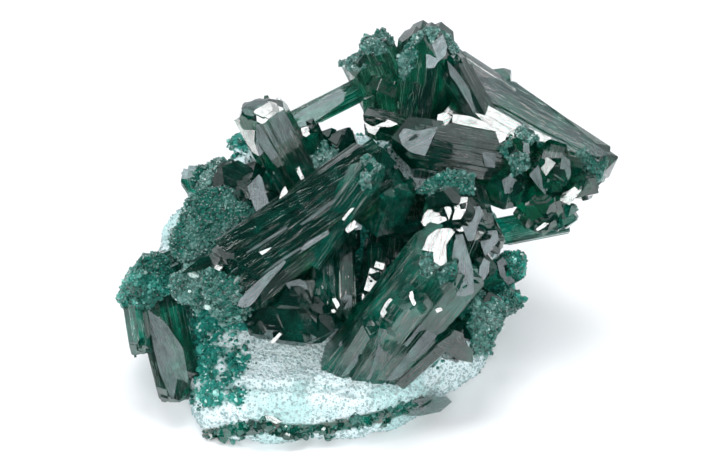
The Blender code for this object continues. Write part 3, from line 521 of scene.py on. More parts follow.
def end_planes(spec, dice, width):
    """The planes that close the free end: points from the apex and normals, with Z along the axis."""
    planes = []
    first = math.radians(30 + spec["turn"])
    for k in range(3):
        angle = first + k * math.tau / 3
        tilt = RHOMB_TILT * dice.uniform(0.92, 1.06)
        out = Vector((math.cos(angle), math.sin(angle), 0))
        offset = out * width * dice.uniform(-0.02, 0.10)
        planes.append((offset, Vector((0, 0, math.cos(tilt))) + out * math.sin(tilt)))
    if spec["end"] == "blunt":
        lean = Vector((dice.uniform(-0.2, 0.2), dice.uniform(-0.2, 0.2), 1)).normalized()
        planes.append((Vector((0, 0, -width * 0.22)), lean))
    if spec["end"] == "worn":
        planes.append((Vector((0, 0, -width * 0.16)), Vector((0, 0, 1))))
        for k in range(PRISM_FACES):
            angle = (k + 0.5) * math.tau / PRISM_FACES + dice.uniform(-0.2, 0.2)
            out = Vector((math.cos(angle), math.sin(angle), 0))
            offset = (out * 0.24 - Vector((0, 0, 0.14))) * width
            planes.append((offset, (Vector((0, 0, 1)) + out * 0.8).normalized()))
    if spec["end"] == "broken":
        for drop in (0.22, 0.30, 0.34):
            lean = Vector((dice.uniform(-0.6, 0.6), dice.uniform(-0.6, 0.6), 1)).normalized()
            planes.append((Vector((0, 0, -width * drop)), lean))
    return planes


def member(spec, dice, settings, length, shift=(0.0, 0.0), size=1.0, drop=0.0, start=0.0, lean=0.0):
    """One prism of a crystal, along Z from its root at the origin, as a bmesh in millimetres."""
    half_1, half_2 = spec["depth"] / 2 * size, spec["width"] / 2 * size
    strip = settings.strip * (0.6 + 0.4 * size)
    outline = striated_outline(dice, half_1, half_2, strip, settings.unevenness)
    centre = Vector((shift[0] * spec["depth"] / 2, shift[1] * spec["width"] / 2))
    mesh = bmesh.new()
    verts = [mesh.verts.new((p.x + centre.x, p.y + centre.y, start)) for p in outline]
    bottom = mesh.faces.new(verts)
    made = bmesh.ops.extrude_face_region(mesh, geom=[bottom])
    top = [piece for piece in made["geom"] if isinstance(piece, bmesh.types.BMVert)]
    bmesh.ops.translate(mesh, verts=top, vec=(0, 0, length + 2 * spec["width"] - start))
    width = 2 * min(half_1, half_2)
    wobble = Vector((dice.uniform(-0.12, 0.12), dice.uniform(-0.12, 0.12), 0)) * width
    apex = Vector((centre.x, centre.y, length - drop)) + wobble
    for offset, normal in end_planes(spec, dice, width):
        half_space(mesh, apex + offset, normal)
    bmesh.ops.recalc_face_normals(mesh, faces=mesh.faces)
    if lean:
        hinge = Vector((math.cos(drop * 9), math.sin(drop * 9), 0))
        bmesh.ops.rotate(mesh, verts=mesh.verts, cent=(0, 0, 0), matrix=Matrix.Rotation(lean, 3, hinge))
    return mesh


def mark(mesh, spec, length, lot):
    """Writes where each corner lies on its crystal and which finish each face has."""
    along = mesh.loops.layers.uv.new("along")
    habit = mesh.loops.layers.float_color.new("habit")
    grain_from = length - spec["grain"]
    if spec["grain"]:
        lean = Vector((math.sin(lot * 90), math.cos(lot * 70), 3)).normalized()
        edge = Vector((0, 0, grain_from + (lot - 0.5) * 0.8))
        every = mesh.verts[:] + mesh.edges[:] + mesh.faces[:]
        bmesh.ops.bisect_plane(mesh, geom=every, dist=1e-6, plane_co=edge, plane_no=lean)
        for face in mesh.faces:
            if (face.calc_center_median() - edge).dot(lean) > 0:
                face.material_index = CRUST
    for face in mesh.faces:
        if face.material_index != CRUST:
            face.material_index = CLEAR if spec["glow"] >= 0.5 else DEEP
        side = abs(face.normal.z) < 0.3
        across = Vector((0, 0, 1)).cross(face.normal).normalized() if side else Vector((1, 0, 0))
        for loop in face.loops:
            place = loop.vert.co
            loop[along].uv = (place.dot(across) + 13.7 * lot, place.z if side else place.y + 7.1 * lot)
            grain = min(1.0, max(0.0, (place.z - grain_from) / 1.2)) if spec["grain"] else 0.0
            loop[habit] = (0.0 if side else 1.0, lot, grain, spec["glow"])


def members_of(spec, settings):
    """The prisms of one crystal: its core, the lobes that give it a stepped head, and fine blades."""
    dice = random.Random(spec["name"])
    length = (on_face(*spec["tip"]) - on_face(*spec["root"])).length
    width = min(spec["width"], spec["depth"])
    made = [(member(spec, dice, settings, length), dice.random())]
    for _ in range(0 if width < 2 else 3 if width < 4 else 5):
        angle = dice.uniform(0, math.tau)
        size = dice.uniform(0.44, 0.62)
        reach = 1.0 - size + dice.uniform(-0.02, 0.02)
        drop = width * dice.uniform(-0.02, 0.14)
        shift = (math.cos(angle) * reach, math.sin(angle) * reach)
        piece = member(spec, dice, settings, length, shift, size, drop, lean=dice.uniform(-0.012, 0.012))
        made.append((piece, dice.random()))
    for _ in range(round(width * 1.8)):
        angle = dice.choice(range(PRISM_FACES)) * math.tau / PRISM_FACES + dice.uniform(-0.45, 0.45)
        size = dice.uniform(0.10, 0.26)
        reach = 1.0 - size + dice.uniform(0.0, 0.05)
        drop = length * dice.uniform(0.03, 0.7)
        shift = (math.cos(angle) * reach, math.sin(angle) * reach)
        start = length * dice.uniform(0.0, 0.15)
        piece = member(spec, dice, settings, length, shift, size, drop, start=start)
        made.append((piece, dice.random()))
    for piece, lot in made:
        mark(piece, spec, length, lot)
        yield piece


def frame_of(spec):
    """The matrix that puts a crystal's own axes on the display face, in millimetres."""
    root, tip = on_face(*spec["root"]), on_face(*spec["tip"])
    axis = (tip - root).normalized()
    facing = face_direction(*spec["facing"])
    across_1 = (facing - axis * facing.dot(axis)).normalized()
    across_2 = axis.cross(across_1)
    turn = Matrix((across_1, across_2, axis)).transposed().to_4x4()
    turn.translation = root
    return turn


def new_piece(name, data):
    """An object at the origin from mesh data."""
    made = bpy.data.objects.new(name, data)
    bpy.context.scene.collection.objects.link(made)
    return made


def mesh_data(mesh, name):
    """Mesh data from a bmesh, which it frees."""
    data = bpy.data.meshes.new(name)
    mesh.to_mesh(data)
    mesh.free()
    return data


def fused(meshes, name, finishes):
    """One closed mesh from overlapping bmeshes, which it frees."""
    others = bpy.data.collections.new(name + "_members")
    bpy.context.scene.collection.children.link(others)
    pieces = []
    for mesh in meshes:
        data = mesh_data(mesh, name + "_member")
        for finish in finishes:
            data.materials.append(finish)
        pieces.append(bpy.data.objects.new(name + "_member", data))
    first = pieces[0]
    bpy.context.scene.collection.objects.link(first)
    for other in pieces[1:]:
        others.objects.link(other)
    union = first.modifiers.new("union", "BOOLEAN")
    union.operation = "UNION"
    union.operand_type = "COLLECTION"
    union.collection = others
    union.solver = "MANIFOLD"
    made = evaluated_mesh(first, name)
    for piece in pieces:
        data = piece.data
        bpy.data.objects.remove(piece)
        bpy.data.meshes.remove(data)
    bpy.data.collections.remove(others)
    return made


def growth_face(normal, finish, lift, outline, surface, lot):
    """A flat plate on a spray: its plane has the normal given, and lies just proud of the
    surface under its outline. A bmesh in millimetres, or None where nothing is under it."""
    look = face_direction(0, 0, -1)
    depths = []
    count = len(outline)
    middle = Vector((sum(x for x, _ in outline) / count, sum(y for _, y in outline) / count))
    places = [Vector(place).lerp(middle, share) for place in outline for share in (0.15, 0.6)]
    slope_x, slope_y = -normal[0] / normal[2], -normal[1] / normal[2]
    for x, y in places:
        start = on_face(*seen_to_face(x, y, OUT_OF_THE_CRYSTALS))
        place = surface.ray_cast(start, (on_face(*seen_to_face(x, y, 0)) - start).normalized())[0]
        if place is None:
            continue
        across, up, out = to_face(place)
        rise = slope_x * (x - middle.x) / DRAWN_STEPS - slope_y * (y - middle.y) / DRAWN_STEPS
        depths.append(out - rise)
    if len(depths) < 3:
        return None
    depths.sort()
    level = depths[int(0.6 * (len(depths) - 1))] + lift
    mesh = bmesh.new()
    corners = []
    for x, y in outline:
        rise = slope_x * (x - middle.x) / DRAWN_STEPS - slope_y * (y - middle.y) / DRAWN_STEPS
        corners.append(mesh.verts.new(on_face(*seen_to_face(x, y, level + rise))))
    face = mesh.faces.new(corners)
    made = bmesh.ops.extrude_face_region(mesh, geom=[face])
    back = [piece for piece in made["geom"] if isinstance(piece, bmesh.types.BMVert)]
    bmesh.ops.translate(mesh, verts=back, vec=look * (1.0 + lift))
    bmesh.ops.recalc_face_normals(mesh, faces=mesh.faces)
    along = mesh.loops.layers.uv.new("along")
    habit = mesh.loops.layers.float_color.new("habit")
    corners = [Vector(place) for place in outline]
    pairs = ((a, b) for a in corners for b in corners)
    first, last = max(pairs, key=lambda pair: (pair[0] - pair[1]).length)
    way = (last - first).normalized()
    for face in mesh.faces:
        face.material_index = finish
        for loop in face.loops:
            across, up, out = to_face(loop.vert.co)
            flat = Vector((across, -up))
            loop[along].uv = (flat.x * way.y - flat.y * way.x + 13.7 * lot, flat.dot(way))
            # Faces that mirror the key softbox take 0.35 here and the others 0.7, so the key's faces get
            # about twice the striae and painted highlights of the others.
            loop[habit] = (0.35 if normal == KEY else 0.7, lot, 0.0, 0.0)
    return mesh


def spray_mesh(name, settings):
    """All the prisms of one spray as one closed mesh, in metres."""
    members = []
    for spec in SPRAYS[name]:
        place = frame_of(spec)
        for piece in members_of(spec, settings):
            bmesh.ops.transform(piece, matrix=place, verts=piece.verts)
            members.append(piece)
    finishes = crystal_materials(settings)
    data = fused(members, name + "_facets", finishes)
    whole = bmesh.new()
    whole.from_mesh(data)
    surface = BVHTree.FromBMesh(whole)
    dice = random.Random(name)
    plates = [growth_face(*entry, surface, dice.random()) for entry in GROWTH_FACES[name]]
    data = fused([whole, *(plate for plate in plates if plate)], name + "_facets", finishes)
    data.transform(Matrix.Scale(0.001, 4))
    note_crust(data)
    return data


def note_crust(data):
    """Stores on each face whether it is crusted, and how turquoise its crust is."""
    faces = len(data.polygons)
    finish, starts = np.empty(faces, np.int32), np.empty(faces, np.int32)
    data.polygons.foreach_get("material_index", finish)
    data.polygons.foreach_get("loop_start", starts)
    habit = np.empty(len(data.loops) * 4, np.float32)
    data.attributes["habit"].data.foreach_get("color", habit)
    cover, tone = (finish == CRUST).astype(np.float32), habit.reshape(-1, 4)[starts, 3]
    for name, values in (("cover", cover), ("tone", tone)):
        data.attributes.new(name, "FLOAT", "FACE")
        data.attributes[name].data.foreach_set("value", np.ascontiguousarray(values))


def evaluated_mesh(source, name):
    """Plain mesh data of what an object's modifiers make."""
    bpy.context.view_layer.update()
    graph = bpy.context.evaluated_depsgraph_get()
    data = bpy.data.meshes.new_from_object(source.evaluated_get(graph))
    data.name = name
    return data


# Shader helpers

class Tree:
    """Adds nodes to a shader or geometry tree and links them."""

    def __init__(self, tree):
        self.tree = tree
        self.column = 0

    def add(self, kind, **values):
        """A new node with the properties given."""
        made = self.tree.nodes.new(kind)
        made.location = (220 * self.column, -180 * (self.column % 4))
        self.column += 1
        for key, value in values.items():
            if hasattr(made, key):
                setattr(made, key, value)
        return made

    def feed(self, node, **inputs):
        """Sets or links a node's inputs, named by socket with underscores for spaces, or by index as _0."""
        for key, value in inputs.items():
            index = int(key[1:]) if key[1:].isdigit() and key[0] == "_" else key.replace("_", " ")
            socket = node.inputs[index]
            if isinstance(value, bpy.types.NodeSocket):
                self.tree.links.new(value, socket)
            else:
                socket.default_value = value
        return node

    def math(self, operation, a, b=0.0, clamp=False):
        """A math node's output."""
        made = self.add("ShaderNodeMath", operation=operation, use_clamp=clamp)
        return self.feed(made, _0=a, _1=b).outputs[0]

    def ramp(self, value, *stops):
        """A colour ramp's output over stops of (position, grey or colour)."""
        made = self.add("ShaderNodeValToRGB")
        band = made.color_ramp
        while len(band.elements) < len(stops):
            band.elements.new(0.5)
        for element, (place, shade) in zip(band.elements, stops):
            element.position = place
            element.color = (shade, shade, shade, 1) if isinstance(shade, (int, float)) else (*shade, 1)
        return self.feed(made, _0=value).outputs[0]

    def mix(self, share, a, b):
        """A colour mix's output."""
        made = self.add("ShaderNodeMix", data_type="RGBA")
        made.inputs[0].default_value = 0.5
        for index, value in ((0, share), (6, a), (7, b)):
            if isinstance(value, bpy.types.NodeSocket):
                self.tree.links.new(value, made.inputs[index])
            else:
                made.inputs[index].default_value = value if index == 0 else (*value, 1)
        return made.outputs[2]

    def noise(self, vector, scale, detail=3.0, roughness=0.55):
        """A noise texture's factor."""
        made = self.add("ShaderNodeTexNoise")
        self.feed(made, Vector=vector, Scale=scale, Detail=detail, Roughness=roughness)
        return made.outputs[0]

    def bump(self, shader, strength, distance, height):
        """Feeds a bump to a shader's normal."""
        made = self.add("ShaderNodeBump")
        self.feed(made, Strength=strength, Distance=distance, Height=height)
        self.feed(shader, Normal=made.outputs[0])

    def scaled(self, vector, scale):
        """A vector scaled axis by axis."""
        made = self.add("ShaderNodeMapping")
        self.feed(made, Vector=vector, Scale=scale)
        return made.outputs[0]


def new_group(name, inputs, outputs):
    """A shader node group with named sockets, and its input and output nodes."""
    group = bpy.data.node_groups.new(name, "ShaderNodeTree")
    for label, kind, default in inputs:
        socket = group.interface.new_socket(label, in_out="INPUT", socket_type=kind)
        if default is not None:
            socket.default_value = default
    for label, kind in outputs:
        group.interface.new_socket(label, in_out="OUTPUT", socket_type=kind)
    return group, group.nodes.new("NodeGroupInput"), group.nodes.new("NodeGroupOutput")


def striae_group():
    """Height of the fine lines that run along a prism, and a mask of thin lines and dashes along them where
    pale highlights are painted.
    """
    group, source, sink = new_group(
        "striae",
        [("Along", "NodeSocketVector", None), ("Fineness", "NodeSocketFloat", 1.0)],
        [("Height", "NodeSocketFloat"), ("Painted highlight", "NodeSocketFloat")])
    tree = Tree(group)
    near = tree.add("ShaderNodeVectorMath", operation="SCALE")
    tree.feed(near, _0=source.outputs["Along"], Scale=source.outputs["Fineness"])
    fine = tree.noise(tree.scaled(near.outputs[0], (9.0, 0.22, 1.0)), 1.0, 2.0)
    broad = tree.noise(tree.scaled(near.outputs[0], (2.6, 0.10, 1.0)), 1.0, 2.0)
    group.links.new(tree.math("ADD", tree.math("MULTIPLY", fine, 0.45), broad), sink.inputs["Height"])
    # Thin lines and dashes along the prism: pale highlights are painted into the colour where they lie, and
    # they also raise the bump.
    lines = tree.noise(tree.scaled(near.outputs[0], (9.0, 0.20, 1.0)), 1.0, 1.0)
    thin = tree.ramp(lines, (0.60, 0.0), (0.66, 1.0))
    dashes = tree.noise(tree.scaled(near.outputs[0], (6.0, 0.50, 1.0)), 1.0, 1.0)
    dash = tree.ramp(dashes, (0.64, 0.0), (0.70, 1.0))
    group.links.new(tree.math("MAXIMUM", thin, dash), sink.inputs["Painted highlight"])
    return group


def crust_group():
    """Height, a mask of pale cells where sparkle is painted, and a random shade for each grain of a grainy
    crust, from object coordinates in metres.
    """
    group, source, sink = new_group(
        "crust",
        [("Place", "NodeSocketVector", None), ("Grains per metre", "NodeSocketFloat", 2600.0)],
        [("Height", "NodeSocketFloat"), ("Sparkle", "NodeSocketFloat"), ("Shade", "NodeSocketFloat")])
    tree = Tree(group)
    cells = tree.add("ShaderNodeTexVoronoi")
    tree.feed(cells, Vector=source.outputs["Place"], Scale=source.outputs["Grains per metre"])
    half = tree.math("MULTIPLY", source.outputs["Grains per metre"], 0.45)
    lumps = tree.noise(source.outputs["Place"], half, 4.0, 0.7)
    group.links.new(tree.math("SUBTRACT", lumps, tree.math("MULTIPLY", cells.outputs["Distance"], 0.7)),
                    sink.inputs["Height"])
    split = tree.add("ShaderNodeSeparateColor")
    group.links.new(cells.outputs["Color"], split.inputs[0])
    group.links.new(tree.ramp(split.outputs[0], (0.86, 0.0), (0.92, 1.0)), sink.inputs["Sparkle"])
    group.links.new(split.outputs[1], sink.inputs["Shade"])
    return group


def use_group(tree, group, **inputs):
    """A group node in a material's tree."""
    made = tree.add("ShaderNodeGroup")
    made.node_tree = group
    return tree.feed(made, **inputs)


def new_material(name):
    """An empty material: its tree helper and its Principled and output nodes."""
    made = bpy.data.materials.new(name)
    made.use_nodes = True
    shader = made.node_tree.nodes["Principled BSDF"]
    return made, Tree(made.node_tree), shader, made.node_tree.nodes["Material Output"]


def dioptase_material(name, settings, groups, absorption, light, glow_start, clearness):
    """Emerald glass that darkens with depth, striated along its prisms. Noise mottles a painted
    glow into its colour, and pale highlights are painted along the striae.
    """
    made, tree, shader, output = new_material(name)
    along = tree.add("ShaderNodeUVMap", uv_map="along").outputs[0]
    habit = tree.add("ShaderNodeAttribute", attribute_name="habit")
    split = tree.add("ShaderNodeSeparateColor")
    tree.tree.links.new(habit.outputs["Color"], split.inputs[0])
    end, lot = split.outputs[0], split.outputs[1]
    place = tree.add("ShaderNodeTexCoord").outputs["Object"]
    striae = use_group(tree, groups["striae"], Along=along)
    clouds = tree.noise(place, 420.0, 4.0, 0.6)
    side = tree.math("SUBTRACT", 1.0, end)
    body = tuple(light * part for part in settings.emerald)
    lit = tuple(light * part for part in settings.glow)
    # Painted glow: noise mottles the colour from the body colour towards the glow colour, standing in for
    # light that comes through the crystal.
    tint = tree.mix(tree.ramp(clouds, (glow_start, 0.0), (glow_start + 0.26, 1.0)), body, lit)
    # Painted highlights: pale lines and dashes along the striae of the side faces, painted into the colour;
    # they also raise the bump below.
    highlight_streak = tree.math("MULTIPLY", striae.outputs["Painted highlight"], side)
    tint = tree.mix(tree.math("MULTIPLY", highlight_streak, 0.85), tint, (0.78, 0.92, 0.86))
    wear = tree.noise(tree.scaled(along, (0.9, 0.45, 1.0)), 1.0, 6.0, 0.72)
    tree.feed(shader, Base_Color=tint, Roughness=tree.ramp(wear, (0.40, 0.03), (0.62, 0.22)), IOR=1.66,
              Transmission_Weight=clearness, Coat_Weight=tree.ramp(wear, (0.36, 1.0), (0.66, 0.25)),
              Coat_IOR=1.6, Coat_Roughness=0.03)
    depth = tree.add("ShaderNodeVolumeAbsorption")
    tree.feed(depth, Color=(0.0, 0.74, 0.63, 1), Density=absorption)
    tree.tree.links.new(depth.outputs[0], output.inputs["Volume"])
    sides = tree.math("MULTIPLY", striae.outputs["Height"], side)
    ends = tree.math("MULTIPLY", tree.noise(place, 500.0, 2.0), tree.math("MULTIPLY", end, 0.12))
    height = tree.math("ADD", tree.math("ADD", sides, ends), tree.math("MULTIPLY", highlight_streak, 0.9))
    tree.bump(shader, 0.5, 0.00007, height)
    return made


def crust_material(name, groups):
    """Grey-green crust of tiny crystals, each grain lighter or darker by its own lot."""
    made, tree, shader, _ = new_material(name)
    place = tree.add("ShaderNodeTexCoord").outputs["Object"]
    lot = tree.add("ShaderNodeAttribute", attribute_name="lot").outputs["Fac"]
    tone = tree.add("ShaderNodeAttribute", attribute_name="tone").outputs["Fac"]
    crust = use_group(tree, groups["crust"], Place=place, Grains_per_metre=3400.0)
    clouds = tree.ramp(tree.noise(place, 300.0, 5.0, 0.72), (0.46, 0.0), (0.54, 1.0))
    shade = tree.math("MAXIMUM", lot, tree.math("MULTIPLY", crust.outputs["Shade"], 0.8))
    dark = tree.mix(shade, (0.001, 0.026, 0.020), (0.012, 0.15, 0.115))
    grey = tree.ramp(shade, (0.0, (0.01, 0.045, 0.036)), (0.55, (0.045, 0.15, 0.128)),
                     (0.95, (0.15, 0.31, 0.28)), (1.0, (0.60, 0.75, 0.71)))
    blue = tree.ramp(shade, (0.0, (0.002, 0.07, 0.055)), (0.6, (0.008, 0.22, 0.17)),
                     (0.95, (0.08, 0.45, 0.38)), (1.0, (0.45, 0.80, 0.74)))
    colour = tree.mix(clouds, dark, tree.mix(tone, grey, blue))
    tree.feed(shader, Base_Color=colour, Roughness=0.08, IOR=1.66, Coat_Weight=0.6,
              Coat_IOR=1.6, Coat_Roughness=0.03)
    tree.bump(shader, 0.7, 0.00020, crust.outputs["Height"])
    return made


def crystal_materials(settings):
    """The three finishes of a spray, made once, in the order DEEP, CLEAR, CRUST."""
    if "dioptase_deep" not in bpy.data.materials:
        groups = groups_of()
        dioptase_material("dioptase_deep", settings, groups, 800.0, 0.85, 0.50, 0.90)
        dioptase_material("dioptase_clear", settings, groups, 300.0, 1.10, 0.45, 0.82)
        crust_material("dioptase_crust", groups)
    return [bpy.data.materials[name] for name in ("dioptase_deep", "dioptase_clear", "dioptase_crust")]


def stone_material(settings, groups):
    """Pale blue-white granular matrix with turquoise stains, dark specks and painted shade along the crease.
    """
    made, tree, shader, _ = new_material("matrix_stone")
    place = tree.add("ShaderNodeTexCoord").outputs["Object"]
    patches = tree.add("ShaderNodeAttribute", attribute_name="patches")
    split = tree.add("ShaderNodeSeparateColor")
    tree.tree.links.new(patches.outputs["Color"], split.inputs[0])
    green, pale_green, seam = split.outputs[0], split.outputs[1], split.outputs[2]
    crust = use_group(tree, groups["crust"], Place=place, Grains_per_metre=3600.0)
    grains = tree.noise(place, 2600.0, 4.0, 0.7)
    clouds = tree.noise(place, 330.0, 4.0, 0.6)
    stone = tree.mix(tree.ramp(grains, (0.36, 0.0), (0.62, 1.0)), (0.72, 0.89, 0.91), tuple(settings.stone))
    lot = tree.add("ShaderNodeAttribute", attribute_name="lot").outputs["Fac"]
    stone = tree.mix(tree.ramp(lot, (0.55, 0.0), (0.90, 1.0)), stone, (0.90, 0.94, 0.95))
    specks = tree.ramp(tree.noise(place, 2400.0, 4.0, 0.8), (0.26, 1.0), (0.33, 0.0))
    specks = tree.math("MAXIMUM", specks, tree.ramp(lot, (0.985, 0.0), (0.990, 1.0)))
    stone = tree.mix(tree.math("MULTIPLY", specks, 0.5), stone, (0.14, 0.34, 0.34))
    edge = tree.math("SUBTRACT", clouds, 0.5)
    masks = tree.ramp(tree.math("ADD", green, tree.math("MULTIPLY", edge, 1.5)), (0.42, 0.0), (0.60, 1.0))
    teal = tree.mix(tree.ramp(grains, (0.35, 0.0), (0.65, 1.0)), (0.008, 0.10, 0.08), tuple(settings.stain))
    # Painted sparkle: pale flecks on the turquoise stains stand in for glints off their grains.
    teal = tree.mix(crust.outputs["Sparkle"], teal, (0.55, 0.80, 0.75))
    ragged = tree.math("ADD", pale_green, tree.math("MULTIPLY", edge, 1.5))
    pale = tree.ramp(ragged, (0.45, 0.0), (0.75, 1.0))
    colour = tree.mix(tree.math("MULTIPLY", pale, 0.42), stone, (0.20, 0.58, 0.54))
    colour = tree.mix(masks, colour, teal)
    band = tree.ramp(tree.math("ADD", seam, tree.math("MULTIPLY", edge, 0.9)), (0.40, 0.0), (0.60, 1.0))
    earth = tree.mix(tree.ramp(clouds, (0.42, 0.0), (0.58, 1.0)), (0.01, 0.13, 0.10), (0.20, 0.21, 0.19))
    colour = tree.mix(band, colour, earth)
    # Painted shade: the crease's weight darkens the stone along the groove of the crease.
    colour = tree.mix(tree.math("MULTIPLY", patches.outputs["Alpha"], 0.6), colour, (0.10, 0.24, 0.24))
    tree.feed(shader, Base_Color=colour, Roughness=0.75)
    tree.bump(shader, 0.9, 0.00022, tree.math("ADD", crust.outputs["Height"], grains))
    return made


def patch_weight(across, up, patches):
    """How far a place lies inside round patches, from 0 to 1."""
    best = 0.0
    for x, y, radius in patches:
        best = max(best, 1.0 - math.hypot(across - x, up - y) / (1.6 * radius))
    return max(0.0, best)


def line_weight(across, up, line, width):
    """How close a place lies to a line of the matrix, from 0 to 1."""
    best = 9.0
    for (x0, y0), (x1, y1) in zip(line, line[1:]):
        along = Vector((x1 - x0, y1 - y0))
        share = ((across - x0) * along.x + (up - y0) * along.y) / along.length_squared
        share = min(1.0, max(0.0, share))
        best = min(best, math.hypot(across - x0 - share * along.x, up - y0 - share * along.y))
    return max(0.0, 1.0 - best / (2 * width))


def chipped(data, seed, chips, reaches, depth, behind):
    """Breaks flat faces off a mesh: points outside a plane near a random place move onto it.
    Only places behind a level of the display face are broken, and never the front of the foot."""
    count = len(data.vertices)
    places, normals = np.empty(count * 3), np.empty(count * 3)
    data.vertices.foreach_get("co", places)
    data.vertices.foreach_get("normal", normals)
    places, normals = places.reshape(-1, 3), normals.reshape(-1, 3)
    back, high = places[:, 1] * 1000 + CENTRE.y, places[:, 2] * 1000 - FACE_HEIGHT
    level = high * math.sin(FACE_LEAN) - back * math.cos(FACE_LEAN)
    up = back * math.sin(FACE_LEAN) + high * math.cos(FACE_LEAN)
    front = (level > FOOT_OUT) & (up < FOOT_UP)
    free = (level < behind + CHIP_OVERHANG) & ~front
    dice = np.random.default_rng(seed)
    for k in dice.integers(0, count, chips):
        middle, look = places[k].copy(), normals[k] + dice.normal(0.0, 0.28, 3)
        if level[k] > behind or middle[2] < 0.0012 or front[k]:
            continue
        look /= np.linalg.norm(look)
        away = places - middle
        beyond = away @ look + dice.uniform(0.1, 0.7) * depth
        reach = dice.uniform(*reaches)
        near = (beyond > 0) & (np.einsum("ij,ij->i", away, away) < reach * reach) & free
        places[near] -= np.outer(np.minimum(beyond[near], depth), look)
    places[:, 2] = np.maximum(places[:, 2], 0.0)
    data.vertices.foreach_set("co", places.ravel())
    data.update()


def roughened(data):
    """Chips a mesh, then moves its points along their normals by lumps, grains and the crease."""
    chipped(data, **BIG_CHIPS)
    chipped(data, **SMALL_CHIPS)
    normals = [vert.normal.copy() for vert in data.vertices]
    for vert, normal in zip(data.vertices, normals):
        place = vert.co * 1000
        lump = noise.fractal(place / 2.6, 0.8, 2.1, 5)
        grain = noise.noise(place * 2.4)
        foot = min(1.0, max(0.0, place.z / 0.6))
        across, up, out = to_face(place)
        crease = line_weight(across, up, CREASE, 1.5 * CREASE_WIDTH) if out > -1 else 0.0
        vert.co += normal * 0.001 * (0.24 * lump + 0.08 * grain - 0.4 * crease) * foot
        vert.co.z = max(0.0, vert.co.z)


def paint_patches(data):
    """Stores on each point of the matrix how much it is green, pale green, seam and crease, and
    how much druse covers it. The crease's weight later paints shade along the crease."""
    for name, kind in (("patches", "FLOAT_COLOR"), ("cover", "FLOAT"), ("tone", "FLOAT")):
        data.attributes.new(name, kind, "POINT")
    values = np.zeros((len(data.vertices), 4), np.float32)
    for k, vert in enumerate(data.vertices):
        across, up, out = to_face(vert.co * 1000)
        green = patch_weight(across, up, GREEN_PATCHES)
        bed = 0.9 if up > -8.5 and -16 < across < 12 and out > -7.5 else 0.0
        far = min(1.0, max(0.0, (-4.0 - out) / 5.0))
        stain = far * (0.42 + 0.9 * noise.fractal(vert.co * 160, 1.0, 2.0, 3))
        wash = far * (0.35 + 0.9 * noise.fractal(vert.co * 120 + Vector((7, 3, 1)), 1.0, 2.0, 3))
        green = green * (1.0 - far)
        values[k] = (max(green, bed, stain), max(patch_weight(across, up, PALE_GREEN_PATCHES), wash),
                     line_weight(across, up, SEAM, SEAM_WIDTH) if out > -1 else 0.0,
                     line_weight(across, up, CREASE, CREASE_WIDTH) if out > -1 else 0.0)
    data.attributes["patches"].data.foreach_set("color", values.ravel())
    wanted = np.clip(1.6 * (np.maximum(values[:, 0], values[:, 2]) - 0.25), 0.0, 1.0)
    data.attributes["cover"].data.foreach_set("value", wanted)
    data.attributes["tone"].data.foreach_set("value", np.clip(1.0 - values[:, 2] * 0.8, 0.0, 1.0))


def druse_crystal():
    """A small six-sided prism with a three-faced tip, one millimetre long."""
    mesh = bmesh.new()
    bmesh.ops.create_cone(mesh, cap_ends=True, segments=6, radius1=0.3, radius2=0.3, depth=2.0)
    for k in range(3):
        angle = k * math.tau / 3
        normal = Vector((math.cos(angle) * 0.78, math.sin(angle) * 0.78, 0.63))
        half_space(mesh, Vector((0, 0, 0.6)), normal)
    half_space(mesh, Vector((0, 0, -0.4)), Vector((0, 0, -1)))
    bmesh.ops.recalc_face_normals(mesh, faces=mesh.faces)
    return new_piece("druse_crystal", mesh_data(mesh, "druse_crystal"))


def grain_crystal():
    """A small skewed eight-sided crystal, one millimetre across."""
    mesh = bmesh.new()
    ring = ((0.5, 0.1, 0), (0.1, 0.42, 0.1), (-0.45, 0.05, -0.1), (-0.05, -0.4, 0.05))
    tips = ((0.15, -0.1, 0.55), (-0.1, 0.05, -0.4))
    corners = [mesh.verts.new(place) for place in (*ring, *tips)]
    for k in range(4):
        for top in (4, 5):
            mesh.faces.new((corners[k], corners[(k + 1) % 4], corners[top]))
    bmesh.ops.recalc_face_normals(mesh, faces=mesh.faces)
    return new_piece("grain_crystal", mesh_data(mesh, "grain_crystal"))


